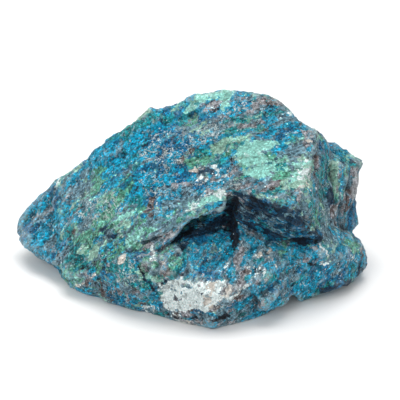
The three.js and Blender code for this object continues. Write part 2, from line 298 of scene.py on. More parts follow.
# What the patches of a mineral also hold, so that none is of one colour.
COMPANIONS = {
    "slate": {"azure": 0.14, "lilac": 0.14, "sage": 0.1, "teal": 0.06, "navy": 0.06, "pale": 0.06},
    "azure": {"deep": 0.14, "teal": 0.08, "slate": 0.07, "mint": 0.03, "pale": 0.02, "navy": 0.03},
    "deep": {"azure": 0.22, "navy": 0.1, "teal": 0.06, "slate": 0.05},
    "teal": {"azure": 0.14, "green": 0.14, "navy": 0.05, "slate": 0.06, "sage": 0.06},
    "green": {"teal": 0.12, "sage": 0.2, "mint": 0.1, "slate": 0.06, "azure": 0.03, "navy": 0.02},
    "sage": {"mint": 0.2, "green": 0.14, "slate": 0.1, "lilac": 0.05, "pale": 0.08},
    "mint": {"sage": 0.14, "pale": 0.14, "green": 0.06, "azure": 0.03},
    "lilac": {"slate": 0.2, "brown": 0.08, "pale": 0.1, "cream": 0.05, "azure": 0.05, "navy": 0.04},
    "brown": {"lilac": 0.2, "slate": 0.12, "ink": 0.1, "cream": 0.05},
    "navy": {"deep": 0.12, "ink": 0.2, "teal": 0.04, "slate": 0.04},
    "pale": {"slate": 0.05, "cream": 0.04, "lilac": 0.03},
    "cream": {"pale": 0.2, "lilac": 0.06, "slate": 0.04},
    "ink": {"navy": 0.3, "teal": 0.04},
}

# The front chart is the lump seen from a little above its front: across is x, and up is
# along CHART_UP, both in mm. Rows of patches are: mineral, middle across and up, half its
# length, half its width, its turn in degrees, and the share of the patch that it covers.
# Later rows lie over earlier ones.
CHART_ANGLE = math.radians(25)
CHART_UP = (0, math.sin(CHART_ANGLE), math.cos(CHART_ANGLE))
CHART_FRONT = (0, -math.cos(CHART_ANGLE), math.sin(CHART_ANGLE))
PATCHES = (
    # the wing at the left
    ("slate", -42, 16, 16, 9, 52, 0.28),
    ("azure", -43, 15, 15, 7, 52, 0.75),
    ("sage", -36, 30, 5, 2, 45, 0.5),
    ("azure", -45, 8, 5, 3, -30, 0.85),
    ("azure", -40, 15, 4, 2.5, 50, 0.85),
    ("azure", -43, 20, 5, 2, 35, 0.8),
    ("azure", -36, 24, 5, 1.6, 45, 0.8),
    ("azure", -31, 29, 4, 1.2, 48, 0.95),
    ("lilac", -46, 16, 4, 0.7, 38, 0.4),
    ("lilac", -45, 12, 4, 0.6, 30, 0.4),
    ("lilac", -41, 19.5, 3, 0.7, 30, 0.4),
    ("deep", -39, 21.5, 3, 0.6, 30, 0.6),
    ("slate", -49, 12, 2.5, 4, 10, 0.3),
    # the left face
    ("green", -24, 15, 14, 13, 60, 0.55),
    ("sage", -27, 18, 12, 10, 45, 0.4),
    ("slate", -33, 22, 6, 4, 50, 0.5),
    ("slate", -32, 12, 9, 1.6, 62, 0.35),
    ("brown", -35, 13, 8, 3, 62, 0.25),
    ("teal", -34, 16, 7, 3, 62, 0.25),
    ("green", -21, 26, 5, 4, 20, 0.75),
    ("slate", -29, 15, 4, 3, 70, 0.4),
    ("sage", -19, 19, 5, 3, 20, 0.6),
    ("green", -31, 9, 6, 3.5, 35, 0.5),
    ("sage", -27, 8, 5, 2, 25, 0.55),
    ("sage", -15, 12, 4.2, 3, 80, 0.6),
    ("green", -15, 11, 3, 1.8, 80, 0.5),
    ("sage", -20.5, 11, 3, 2, 90, 0.5),
    ("mint", -19, 17.5, 2.5, 1.4, 30, 0.45),
    ("teal", -34, 5, 3, 1.8, 25, 0.85),
    ("green", -33, 2, 4.5, 1.6, 20, 0.8),
    ("teal", -22.5, 6, 3, 2.6, 60, 0.85),
    ("teal", -17, 3, 4.5, 3.2, 40, 0.7),
    ("azure", -26, 10.7, 1.6, 1, 0, 0.85),
    ("azure", -31.5, 16, 1.4, 1, 60, 0.8),
    ("azure", -17.5, 8, 0.8, 2, 10, 0.7),
    ("ink", -32.5, 9, 3, 1, 60, 0.5),
    ("ink", -22.5, 11.6, 1.6, 0.8, 10, 0.9),
    ("ink", -23, 14, 3, 1.6, 10, 0.3),
    ("ink", -28.5, 3.6, 3, 0.9, 20, 0.6),
    ("ink", -15.5, 8, 3, 0.7, 15, 0.7),
    ("deep", -14.5, 6.3, 3, 1.4, 10, 0.6),
    ("lilac", -36, 4, 2, 3, 60, 0.4),
    ("pale", -31.4, 7.8, 0.4, 0.4, 0, 0.9),
    # the rim and the lower left front
    ("slate", -22, -4, 12, 3.5, -20, 0.6),
    ("teal", -16, -3, 7, 3, -15, 0.5),
    ("cream", -29, 0, 5, 0.9, 28, 0.75),
    ("sage", -31.5, -0.3, 2.5, 0.8, 25, 0.7),
    ("cream", -19.6, 5.8, 1.5, 1.2, 60, 0.95),
    ("brown", -27, -3, 3.5, 1.8, -25, 0.75),
    ("brown", -23, -5.6, 3.2, 1.5, -30, 0.6),
    ("deep", -33, -4.2, 3, 1, -15, 0.7),
    ("slate", -23.5, -1, 3, 1.4, -50, 0.7),
    ("lilac", -21.5, 2, 3, 1, -60, 0.6),
    ("lilac", -18, -4, 4, 2, -10, 0.6),
    ("deep", -19, -6.5, 4, 1.3, -10, 0.6),
    ("teal", -11, -2.6, 3.2, 1.5, -10, 0.85),
    ("deep", -9, -7, 2.6, 1.3, 80, 0.75),
    ("pale", -10, -9, 3, 1, -8, 0.45),
    ("brown", -13, -7, 1.4, 1, 0, 0.7),
    ("slate", -14, -4.6, 2, 1.2, 0, 0.6),
    # the azure shoulder
    ("azure", -12, 34, 17, 9, 10, 0.6),
    ("deep", -8, 31, 11, 9, 20, 0.55),
    ("teal", -19, 44, 8, 3, 38, 0.6),
    ("azure", -21, 35.5, 7, 4, 12, 0.92),
    ("azure", -27, 33.5, 3.5, 2, 40, 0.9),
    ("azure", -15, 31, 6, 3, -35, 0.75),
    ("azure", -13, 38, 6, 3, 0, 0.7),
    ("azure", -9, 40.5, 8, 2.4, 12, 0.6),
    ("azure", -10, 27, 6, 3, 0, 0.65),
    ("deep", -5, 32.5, 6, 4, 10, 0.75),
    ("deep", -7.5, 36.5, 2.5, 1.6, 40, 0.9),
    ("teal", -17, 25, 3, 3, 60, 0.5),
    ("sage", -10, 31.5, 2, 1, 70, 0.6),
    ("azure", 1.3, 27.2, 3.2, 1.9, -28, 1.0),
    ("deep", 1.6, 26.8, 2.6, 1.4, -28, 0.8),
    ("azure", -5, 22.4, 3.4, 1.3, 10, 0.85),
    ("slate", -6, 25.5, 4, 1.6, 0, 0.6),
    ("lilac", -3, 26, 3, 1.2, 0, 0.4),
    ("lilac", -12, 32.6, 1.8, 0.7, 0, 0.7),
    ("ink", -13.5, 38.5, 2, 0.6, 15, 0.7),
    ("ink", -4, 39, 2.4, 1.4, 20, 0.4),
    ("ink", -14.5, 24, 1.5, 2.5, 0, 0.35),
    ("brown", -10, 43.2, 0.8, 0.8, 0, 0.9),
    ("brown", -1, 34.8, 4, 1, 42, 0.85),
    ("ink", -2, 33.7, 1, 0.6, 40, 0.6),
    ("brown", -11, 21.5, 2.8, 1, 62, 0.95),
    ("ink", -11.4, 20.6, 1.2, 0.6, 60, 0.8),
    ("cream", -10.4, 22.3, 0.5, 0.3, 60, 0.8),
    ("deep", -12.6, 18.4, 0.8, 0.7, 0, 0.9),
    # the top
    ("teal", -5, 46.5, 8, 2.6, 22, 0.65),
    ("sage", -13, 48, 5, 1.4, 30, 0.6),
    ("sage", 5, 45, 8, 2.2, 14, 0.6),
    ("slate", 4, 41.5, 8, 3, 12, 0.6),
    ("azure", 1.5, 51.5, 4, 0.9, 20, 0.8),
    ("mint", 0, 48.6, 5, 1.6, 18, 0.7),
    ("mint", 6.5, 52.2, 6, 1.9, 14, 0.95),
    ("mint", 10, 49.8, 1.6, 2.6, 0, 0.95),
    ("lilac", 5.2, 48.9, 3.2, 1.7, 14, 0.95),
    ("ink", 5.2, 48.9, 3, 1.5, 14, 0.25),
    ("teal", 13, 54.6, 7, 0.9, 0, 0.7),
    ("mint", 17, 51.8, 3, 1, 5, 0.55),
    ("pale", 22.5, 53.3, 3, 0.8, -10, 0.6),
    # the streaked flow at the upper right
    ("slate", 20, 43.5, 14, 6, 12, 0.75),
    ("teal", 20, 43, 14, 6, 12, 0.35),
    ("lilac", 17, 47, 7, 1.8, 10, 0.7),
    ("lilac", 13, 50.2, 5, 0.9, 5, 0.75),
    ("azure", 13.3, 47.7, 3.2, 1.6, 20, 0.9),
    ("brown", 22, 49.8, 3.6, 1.2, -12, 0.85),
    ("brown", 25, 48.6, 2.6, 0.8, 20, 0.5),
    ("lilac", 27.5, 48, 3, 1.2, -40, 0.5),
    ("teal", 19, 45, 5, 0.7, 15, 0.8),
    ("azure", 24, 43, 4, 1.8, -20, 0.7),
    ("azure", 28.4, 42.8, 4, 1.3, -48, 0.9),
    ("azure", 29, 45.6, 1.6, 0.8, 0, 0.9),
    ("azure", 25.5, 39.3, 4, 1.1, -5, 0.8),
    ("azure", 20.6, 40.6, 1.8, 0.8, 0, 0.9),
    ("azure", 14, 40.6, 4, 0.6, 12, 0.7),
    ("lilac", 15, 42.8, 6, 0.9, 12, 0.6),
    ("lilac", 32.5, 40, 2.5, 2.5, 0, 0.55),
    ("cream", 33, 38.8, 1.4, 0.4, 0, 0.8),
    ("slate", 32, 36.5, 3.4, 2, 0, 0.7),
    # the green band and the mint panel
    ("sage", 11, 37.8, 6, 1.5, 14, 0.8),
    ("green", 12, 37.6, 5, 1, 14, 0.6),
    ("sage", 6, 33.5, 7, 2.4, 12, 0.6),
    ("green", 5, 33.2, 6, 1.6, 12, 0.7),
    ("teal", 3.6, 35.4, 2.6, 1.6, 10, 0.95),
    ("green", 0, 34.5, 2, 2, 0, 0.5),
    ("mint", 3.5, 32.5, 2, 0.9, 10, 0.6),
    ("teal", 9, 33.5, 2.6, 0.6, 20, 0.8),
    ("lilac", 12, 33, 1.2, 2.8, 30, 0.7),
    ("ink", 11.6, 33.4, 0.6, 2, 30, 0.4),
    ("mint", 17.5, 33, 4, 6, 5, 0.95),
    ("sage", 15, 30.5, 2.4, 4, 20, 0.3),
    ("mint", 22, 37.6, 3.4, 1.6, 0, 0.85),
    ("sage", 24, 31.5, 4.6, 4.6, 0, 0.85),
    ("green", 24, 32.4, 3.6, 3.4, -30, 0.65),
    ("azure", 27, 36.4, 2.6, 1, -10, 0.8),
    ("sage", 31, 29, 4, 4.2, 0, 0.92),
    ("pale", 31, 29, 3.6, 3.8, 0, 0.22),
    ("slate", 31.8, 34, 3.2, 1.4, 0, 0.5),
    ("mint", 31.5, 32.6, 3, 1.2, 0, 0.5),
    ("mint", 22, 28.6, 6, 1.2, -8, 0.6),
    ("brown", 22.8, 29.4, 0.7, 0.5, 0, 0.95),
    ("cream", 29, 32.6, 1, 0.4, 40, 0.7),
    ("cream", 1.6, 31.1, 2.6, 0.5, 3, 0.9),
    # under the panel, down to the brow
    ("lilac", 8.5, 29, 6, 3, 0, 0.6),
    ("pale", 8.5, 28.6, 7, 3, 0, 0.24),
    ("slate", 4.5, 30, 3, 1.6, 0, 0.6),
    ("navy", 4, 30.4, 2.4, 0.9, 0, 0.4),
    ("brown", 6, 27, 2.4, 1, -5, 0.6),
    ("sage", 5, 28.4, 1, 0.8, 0, 0.7),
    ("teal", 15.8, 28, 1.6, 1, 0, 0.7),
    ("lilac", 18, 26.2, 5, 1.6, -5, 0.6),
    ("brown", 23, 26.6, 2.6, 0.9, 0, 0.8),
    ("cream", 31, 25, 3.2, 0.4, 0, 0.7),
    ("cream", 32.6, 26, 0.6, 1, 0, 0.7),
    ("slate", 27, 23.2, 7, 1.8, 0, 0.8),
    ("sage", 27, 23, 7, 2.6, 0, 0.45),
    ("pale", 27, 23.2, 5, 1.2, 0, 0.25),
    ("sage", 21, 23, 3, 1.2, -15, 0.5),
    ("cream", 23.5, 22.8, 0.7, 0.4, 20, 0.8),
    ("slate", 31.5, 18, 4, 2.6, 0, 0.7),
    ("azure", 28, 20.6, 2, 0.6, 20, 0.6),
    ("teal", 34, 21, 1.4, 4, 0, 0.6),
    ("lilac", 32, 16, 2, 1.4, 0, 0.6),
    # the pale zone over the left brow
    ("sage", -7, 16.5, 5, 3, 35, 0.6),
    ("slate", -2, 20, 8, 4, 25, 0.5),
    ("sage", 2, 20.5, 8, 3, 22, 0.7),
    ("pale", 5, 22.4, 6, 2.2, 22, 0.25),
    ("mint", 3, 20.6, 5, 1.6, 24, 0.35),
    ("mint", 8.6, 22.6, 2, 1.4, 10, 0.75),
    ("lilac", 4, 24, 4, 0.9, 20, 0.5),
    ("cream", 13.4, 25.8, 1.2, 0.4, 0, 0.7),
    ("teal", -0.5, 17, 3, 1.2, 30, 0.7),
    ("green", 2.4, 18.3, 3, 0.6, 20, 0.6),
    ("slate", -7, 12.8, 4, 2, 35, 0.6),
    ("lilac", -9, 11, 3, 2, 35, 0.4),
    # the ledge
    ("slate", 10, 6, 16, 8, 0, 0.4),
    ("azure", 8, 6, 9, 6, 50, 0.65),
    ("green", -5, 9, 5, 3.4, 35, 0.5),
    ("lilac", -6, 8, 6, 4, 30, 0.45),
    ("navy", -1.5, 9.5, 4, 1.6, 50, 0.5),
    ("green", -4, 5, 3, 1.6, 50, 0.6),
    ("teal", -3.5, 2.2, 2.4, 1.2, 50, 0.8),
    ("brown", -0.5, 3.6, 4, 1.2, 52, 0.7),
    ("ink", -1.8, 2, 2, 0.6, 50, 0.5),
    ("azure", 10.6, 9, 3.2, 1.3, 80, 0.95),
    ("azure", 6.6, 7, 4, 1.1, 65, 0.7),
    ("azure", 3.4, 3.4, 4, 1.1, 52, 0.9),
    ("azure", 0, 1.5, 0.8, 0.6, 0, 0.9),
    ("deep", 3.5, 11, 3, 1, 10, 0.7),
    ("green", 6.3, 8.4, 1.8, 0.8, 75, 0.9),
    ("teal", 8.6, 8, 2.5, 0.8, 60, 0.6),
    ("lilac", 13.6, 7, 4, 1.4, 82, 0.7),
    ("lilac", 15.5, 3, 2.8, 2.2, 0, 0.7),
    ("brown", 14, 1.8, 2.4, 1.2, 0, 0.6),
    ("slate", 18, 8, 3, 2, 0, 0.7),
    ("azure", 14.8, 13, 2.8, 0.7, -52, 0.95),
    ("azure", 17, 10.6, 1.2, 0.6, -50, 0.95),
    ("pale", 18, 2.4, 2.6, 2, 0, 0.5),
    ("ink", 18.8, 2.3, 1, 0.6, 0, 0.7),
    ("cream", 18.8, 6.9, 2, 0.9, 30, 0.95),
    ("cream", 22.4, 7.8, 0.6, 0.5, 0, 0.9),
    ("cream", 22, 6.1, 1.4, 0.4, -32, 0.8),
    ("cream", 23.7, 3.3, 1.2, 0.5, 100, 0.9),
    ("azure", 22, 3.2, 1.4, 1.6, 0, 0.8),
    ("teal", 21.8, 0, 2, 1.6, 0, 0.9),
    ("deep", 23, -2.8, 3, 1.6, 0, 0.6),
    ("slate", 5, 0.9, 6, 0.9, 4, 0.8),
    ("slate", 8, 2.4, 6, 1.2, 10, 0.6),
    # the right foot
    ("azure", 32, 2, 8, 6, 0, 0.65),
    ("slate", 33, 3, 9, 5, 0, 0.3),
    ("azure", 29.5, 3, 3.4, 3, 0, 0.85),
    ("slate", 30.4, 6.4, 2.2, 1.2, 0, 0.6),
    ("green", 26.2, 7.8, 1.6, 1.2, 0, 0.85),
    ("mint", 26.3, 5.6, 0.6, 1.8, 10, 0.6),
    ("lilac", 33, 6.2, 1, 1.6, 0, 0.7),
    ("azure", 36.6, 6.6, 3, 1.2, 10, 1.0),
    ("slate", 40.5, 6, 2.6, 1.4, -40, 0.7),
    ("pale", 38, 4.4, 3, 0.7, -5, 0.35),
    ("ink", 34.2, 4.1, 2, 0.35, -22, 0.9),
    ("deep", 37.5, 2.2, 3.6, 1, 0, 0.6),
    ("azure", 42.6, 3.2, 2, 1.6, 0, 0.7),
    ("deep", 36, -1, 6, 1.8, 5, 0.6),
    ("azure", 30, -3, 4, 2, 0, 0.6),
    ("pale", 33, -3, 2.8, 0.6, -60, 0.4),
    ("teal", 41.5, -1.4, 5, 1, 18, 0.7),
    ("navy", 43.5, -2.2, 6, 1, 18, 0.7),
    ("sage", 39, 12.4, 4.6, 2.6, -48, 0.7),
    ("slate", 41.5, 10.5, 4.6, 2, -48, 0.6),
    ("green", 46, 9.4, 3, 1.6, -30, 0.7),
    ("azure", 44.6, 6.4, 4, 1.6, -30, 0.7),
    ("teal", 47, 3, 2.6, 1.6, -20, 0.7),
    ("pale", 37.4, 8.8, 3.4, 0.4, -50, 0.75),
    ("pale", 46.6, 6, 1.4, 0.4, -30, 0.8),
    ("brown", 49.4, 6, 1.1, 4, 0, 0.5),
    ("navy", 49.4, 2, 1.1, 4, 0, 0.5),
    ("azure", -43.7, 11.9, 8, 3.4, 45, 0.4),
    ("deep", 5, 3, 6, 3.5, 60, 0.35),
    ("brown", -5, 7.4, 3.4, 1.6, 50, 0.4),
    ("green", -1.6, 6.4, 4.4, 1, 52, 0.5),
    # the right wall and the side block
    ("slate", 37.5, 26, 3, 12, 0, 0.7),
    ("navy", 37.5, 27, 3, 10, 0, 0.5),
    ("teal", 38.5, 27, 1.6, 8, 0, 0.4),
    ("brown", 35.3, 31, 0.6, 6, 0, 0.7),
    ("brown", 36.6, 23, 0.6, 5, 0, 0.6),
    ("green", 37, 18.5, 1.8, 4, 0, 0.6),
    ("navy", 40.5, 23, 2, 3, 0, 0.7),
    ("brown", 41, 19, 2, 2.2, 0, 0.7),
    ("green", 42.5, 28, 3, 6, 0, 0.55),
    ("sage", 42.4, 29, 2.4, 6, 0, 0.6),
    ("lilac", 44, 27, 3, 6, 0, 0.55),
    ("deep", 43.6, 26.6, 1, 1.8, -20, 0.8),
    ("brown", 44, 21.5, 2.4, 2.6, 0, 0.75),
    ("deep", 46.4, 18, 2.2, 4.4, 0, 0.8),
    ("lilac", 47.6, 27, 1.4, 6, 0, 0.6),
    ("lilac", 42, 15.6, 3.6, 0.7, -32, 0.7),
    ("teal", 46, 33.4, 5, 1.8, -25, 0.6),
    ("mint", 46.4, 33.8, 4, 1.3, -25, 0.8),
    ("slate", 49, 32.4, 2, 1, -20, 0.7),
    ("navy", 45.4, 32.6, 3, 0.7, -24, 0.6),
    # the dark recess: dark minerals, partly painted shade under the overhanging brows
    ("navy", 24, 16, 13, 5, -20, 0.9),
    ("slate", 22, 16.4, 8, 0.7, -28, 0.3),
    ("azure", 18, 16.6, 2.4, 0.5, -10, 0.4),
    ("slate", 24.6, 17, 2.4, 0.6, 5, 0.4),
    ("azure", 24.6, 16.6, 1, 0.4, 0, 0.6),
    ("slate", 28.4, 19, 2, 0.5, 50, 0.5),
    ("deep", 27, 14, 7, 2, -8, 0.35),
    ("brown", 16, 20, 1.6, 2.4, 20, 0.3),
    ("brown", 18.5, 12, 3, 0.8, -30, 0.5),
    ("azure", 19.6, 13.8, 1, 0.4, 0, 0.8),
    ("cream", 16.3, 14.5, 0.5, 0.3, 0, 0.7),
    ("slate", 26, 11.6, 4, 0.9, -32, 0.35),
    ("navy", 33, 11.5, 5, 1.6, 5, 0.7),
    # under the left brow: dark mineral with painted shade where the brow overhangs
    ("navy", 3.4, 14.2, 8, 2.4, 18, 0.86),
    ("deep", 5, 12, 5, 1.2, 14, 0.6),
    ("ink", 7, 16.4, 5, 1.6, 10, 0.5),
    ("ink", 6, 18.6, 5, 0.5, 14, 0.6),
    ("ink", -2, 13, 4.6, 0.5, 42, 0.95),
    ("ink", -2.6, 11.6, 3.4, 0.4, 40, 0.9),
    ("navy", -5, 11.4, 4, 0.8, 44, 0.6),
    ("ink", 19, 22, 8, 0.6, -28, 0.6),
    ("navy", 16, 22.6, 5, 1, -40, 0.7),
    # painted shade: black down the crack, which is shallower than it looks
    ("ink", 12.4, 16.6, 1.4, 6.8, -5, 1.0),
    # the white panel and what lies round it
    ("slate", 0, -11, 10, 2.6, -12, 0.7),
    ("lilac", 2, -11.6, 8, 1.8, -14, 0.6),
    ("pale", -3.4, -4.8, 4.2, 5.2, 0, 0.98),
    ("pale", 3, -3.2, 7, 3.2, 0, 0.98),
    ("pale", 1.6, -7, 6.4, 3.2, 10, 0.98),
    ("pale", -6.6, -3.6, 1.6, 4.6, 10, 0.6),
    ("pale", 8.6, -3.6, 5, 3, 14, 0.85),
    ("cream", 8.4, -2.4, 3.4, 1.8, 0, 0.6),
    ("cream", 7, -5.2, 3.4, 1.8, 10, 0.4),
    ("cream", 12.2, -3, 2.4, 1, 10, 0.7),
    ("slate", -1, -2.3, 1.2, 0.8, 0, 0.8),
    ("lilac", -3.2, -5.6, 1, 0.7, 0, 0.9),
    ("ink", 3, -3.7, 0.4, 0.3, 0, 0.9),
    ("slate", 4, 0.1, 10, 0.6, 0, 0.6),
    ("lilac", 16, -1.8, 5, 1.3, 18, 0.85),
    ("cream", 14.6, -3.1, 3, 0.5, 24, 0.8),
    ("brown", 13, -5, 4, 1, 26, 0.7),
    ("lilac", 9, -7, 3.4, 1.2, 32, 0.7),
    ("brown", 8, -8, 3, 0.7, 30, 0.4),
    ("slate", 15, -7.6, 8, 3, 14, 0.75),
    ("azure", 14, -7, 3, 1.2, 10, 0.6),
    ("lilac", 17, -7.4, 2.4, 1.4, 10, 0.4),
    ("azure", 23, -6.6, 2.8, 2.4, 0, 0.9),
    ("slate", 12, -11.6, 8, 1.4, 16, 0.7),
    ("brown", 0, -9.6, 5, 1, -2, 0.55),
    ("deep", 3, -9.4, 2.2, 0.9, 0, 0.7),
    ("ink", -1, -10.8, 6, 0.5, -8, 0.5),
    ("cream", 0, -12.4, 5, 0.7, -6, 0.5),
    ("azure", 6.5, -12.6, 1.6, 1.4, 0, 0.7),
    ("ink", 9.4, -10.8, 3, 0.7, 10, 0.95),
    # the loose flake
    ("sage", -11, 2.5, 3, 3.6, 20, 0.6),
    ("lilac", -9.5, 4, 3.4, 3, 0, 0.7),
    ("brown", -7.6, 2.4, 2, 2.6, -30, 0.6),
    ("cream", -9.6, 5, 2.4, 0.8, -20, 0.5),
    # painted shadow: thin dark lines under the flake's overhanging edges
    ("ink", -13.4, 2.5, 0.45, 3.6, 20, 0.95),
    ("ink", -10.9, -2, 2.6, 0.45, -36, 1.0),
    ("ink", -7.4, -1.5, 2.4, 0.4, 42, 0.95),
    ("pale", -9.6, 8, 0.6, 2.6, 0, 0.5),
)

# Where pale flecks and veins lie thick, and where dark specks and veins do: middle across
# and up, half its length, half its width, its turn in degrees, and how thick they lie.
FLECKS = (
    (-6, 37, 9, 5, 15, 0.85),
    (-8, 27, 7, 4, 0, 0.55),
    (-27, 21, 7, 5, 45, 0.8),
    (-24, 18, 6, 2, 30, 0.9),
    (4, 41, 6, 3, 10, 0.8),
    (-20, 8, 8, 6, 0, 0.4),
    (8, 28, 8, 4, 0, 0.7),
    (12, 44, 14, 6, 12, 0.4),
    (-42, 16, 14, 7, 50, 0.1),
    (30, 3, 12, 5, 0, 0.15),
    (-16, 2, 5, 4, 0, 0.7),
    (10, 4, 10, 5, 50, 0.15),
    (38, 25, 3, 9, 0, 0.5),
)
SPECKS = (
    (0, -5, 9, 5, 0, 0.2),
    (-4, 36, 8, 6, 15, 0.3),
    (-26, 8, 10, 6, 0, 0.7),
    (9, 28, 8, 4, 0, 0.4),
    (-26, -3, 6, 3, -20, 0.7),
    (10, 0, 14, 6, 0, 0.25),
    (-40, 16, 12, 7, 50, 0.3),
    (22, 44, 12, 5, 12, 0.3),
)

# The grain runs along these directions, drawn out so many times and so many times finer.
# Beside each is where it rules on the chart: middle across and up, half its length, half
# its width and its turn. The first rules elsewhere.
GRAIN_RUNS = (
    ((1, -0.1, 1.15), 2.2, 1, ()),                                         # up the wing
    ((1, 0.36, 0.13), 3.0, 1, ((17, 42, 22, 11, 10), (18, 31, 20, 8, 0))),  # across the crown
    ((1, -0.09, -0.51), 8.0, 2, ((24, 16, 15, 6, -20),)),                  # down the recess wall
    ((1, 0.3, 0.62), 7.0, 1.8, ((-4, 11, 14, 4, 28), (5, 14, 8, 3.4, 20))),  # under the left brow
    ((0.6, 1.1, 0.59), 3.5, 1.2, ((5, 3, 20, 8, 10), (0, -6, 25, 8, -8))),  # down the ledge
    ((0.05, 0.1, 1), 5.0, 1.2, ((42, 26, 7, 16, 0),)),                     # up the right wall
)
PATCH_RAGGEDNESS = (5.0, 0.9)    # size and strength of the lumps that fray the patches
FRAY_SEEDS = (21, 31)            # those of the lumps across and up
LUMP_LAYERS = 4                  # of the lumps on lumps in frayed patches and in clouds
PATCH_EDGE = (1.3, 0.75)         # a patch comes in between these shares of its reach
FRONT_EDGE = (-0.25, 0.1)        # and as the rock turns this far towards the front
STREAK_SIZE = 2.6                # width of the streaks that each mineral gathers in, in mm
STREAK_STRENGTH = 2.2            # how much the minerals part into streaks
STREAK_LAYERS = 3
STREAK_SEED = 60                 # that of the first mineral's streaks
LEAST_RULE = 0.01                # where a run of the grain rules less, it adds nothing
CLOUD_EDGE = (-0.3, 0.9)         # a cloud of country rock comes in over this part of its noise
CLOUD_SEED = 40                  # that of the first mineral's clouds
LEAST_SHARE = 1e-3               # of each mineral, where no cloud holds it
LEAST_TOTAL = 1e-6               # of the layers so far, so that nothing is divided by 0
HOLLOW_ROUNDS = 6                # how many times the grid is evened to find its hollows
RIDGE_HEIGHTS = (0.06, 0.3)      # ridges are painted pale over these heights, in mm, as rubbed edges and as painted highlight
HOLLOW_DEPTHS = (0.05, 0.35)     # and hollows are darkened with painted shade over these depths
DARK_HOLD = 1.5                  # how strongly dark minerals hold the flecks off

# Away from the patches: mineral, size of its clouds in mm, and how much of it there is.
COUNTRY_ROCK = (
    ("slate", 16, 1.0),
    ("azure", 14, 1.3),
    ("deep", 12, 0.7),
    ("teal", 12, 0.7),
    ("green", 14, 0.6),
    ("sage", 12, 0.5),
    ("lilac", 9, 0.5),
    ("brown", 7, 0.3),
    ("navy", 8, 0.3),
    ("pale", 6, 0.12),
)

# ------------------------------------------------------------------ how the grain shows

NOISE_SPREAD = 2.4               # noise gathers round a half, and is spread out so many times
STREAK_GRAIN = (0.8, 3.0)        # size in mm and detail of the streaked grain
STREAK_ROUGHNESS = 0.72          # how strong the finer parts of the streaked noise are
FINE_ROUGHNESS = 0.6             # and those of the even noise
SHEET_SIZES = (1.9, 1.3, 1.6, 1.1)   # of the fine grain that parts the minerals, in mm
SHEET_SHIFT = 31.7               # how far apart those sheets' fields lie
SHEET_DETAIL = 2.0
# Fields of fine even grain: size in mm, a shift that sets each field apart, and detail.
FINE_GRAIN = {
    "wobble": (0.9, 11.0, 2.0),
    "mottle": (2.2, 77.0, 5.0),
    "sparkle": (0.5, 5.0, 1.0),
    "clouds": (3.0, 51.0, 2.0),
    "flecks": (0.9, 9.0, 3.0),
    "veins": (3.0, 23.0, 4.0),
}
TONE_CELLS = 2.1                 # grains of one tone each, in 1 mm
TONE_WOBBLE = 0.45               # how far their borders waver, in mm
COVER_MARGIN = 0.12              # a bare cover stays so far below the grain, a full one above
CALMING = (1.15, -0.75)          # liveliness of the tone, and what calm minerals take off it
DARKEST_TONE = 0.15              # no grain is darkened below this share of its colour
VEIN_PEAK, VEIN_SLOPE = 1.15, 8.0    # height of a vein's middle, and how fast it falls off
FLECK_THICKENING = 0.3           # how far full density lowers the bar for flecks
CLOUD_THICKENING = 0.4           # and how far a cloud does
FLECK_CRISPNESS = 6.0            # how sharp the edges of flecks and veins are
# Flecks and veins, each laid over those before: the field that they are cut from and its
# part, the part of the clouds that gathers them, the bar that the field has to pass, their
# mineral, and how far it hides what is below. Pale ones lie where FLECKS are thick, and
# the others where SPECKS are.
FLECK_KINDS = (
    ("streaks", 0, 0, 1.04, "pale", 0.7),
    ("flecks", 0, 1, 1.1, "pale", 0.9),
    # pale veins: partly pale mineral, partly painted highlight on fine ridges
    ("veins", 0, 2, 1.3, "pale", 0.95),
    ("veins", 1, 1, 1.28, "ink", 0.7),
    ("flecks", 1, 2, 1.12, "brown", 0.7),
    ("flecks", 2, 0, 1.08, "ink", 0.85),
)
# What each field adds to the height of the bump, as a share of the bump depth.
SHEET_HEIGHT = 0.35
CELL_HEIGHT = 0.5
MOTTLE_HEIGHT = 1.5
PALE_HEIGHT = 0.5
DARK_HEIGHT = -0.8
ROUGHNESS_SPREAD = 0.3           # how much the roughness differs between grains
SPECULAR = 0.22                  # the rock shines faintly

# ------------------------------------------------------------------ the studio

FLOOR_HALF = 4.0                 # metres, as all lengths of the studio are
FLOOR_DROP = 0.0001              # the floor lies this far below the rock
FLOOR_ROUGHNESS = 0.9
WORLD_STRENGTH = 0.6
LIGHTS = (                       # name, place, size and power
    ("top light", (0.0, 0.25, 1.05), 0.8, 10.5),
    ("front light", (-0.4, -1.0, 0.5), 1.0, 8.0),
)
LIT_PLACE = (0, 0, 0.03)         # where the lights point
VIEWED_PLACE = (0.002685, -0.002775, 0.024)    # where the camera points
CAMERA_LENS = 195.3              # millimetres, as the sensor's width is
CAMERA_SENSOR = 36
CAMERA_REACH = 20

# ------------------------------------------------------------------ the form as a distance


def smooth_min(a, b, k):
    """The lower of two values, rounded where they come within k of each other."""
    h = np.maximum(k - np.abs(a - b), 0) / k
    return np.minimum(a, b) - h * h * k / 4


def smooth_max(a, b, k):
    """The higher of two values, rounded in the same way."""
    return -smooth_min(-a, -b, k)


def block_distance(points, breaks, k=BLOCK_ROUNDING):
    """Distance from a block: the largest of the distances from its breaks."""
    rows = np.array(breaks, float)
    looks = rows[:, 1] / np.linalg.norm(rows[:, 1], axis=1, keepdims=True)
    distances = points @ looks.T - (rows[:, 0] * looks).sum(1)
    far = distances[:, 0]
    for i in range(1, len(rows)):
        far = smooth_max(far, distances[:, i], k)
    return far


def fold(t):
    """A folded line: it runs from -1 up to 1 and back once in each unit."""
    return np.abs(t - np.floor(t) - 0.5) * 4 - 1


def folded_relief(points):
    """Height of the large folds: a sum of folded lines along several directions."""
    wavered = points + BEND_DEPTH * np.sin(points[:, (1, 2, 0)] / BEND_LENGTH + BEND_START)
    height = 0
    for i, (direction, depth) in enumerate(FOLDS):
        height = height + depth * fold(wavered @ np.array(direction) / 100 + FOLD_SHIFT * i)
    return height


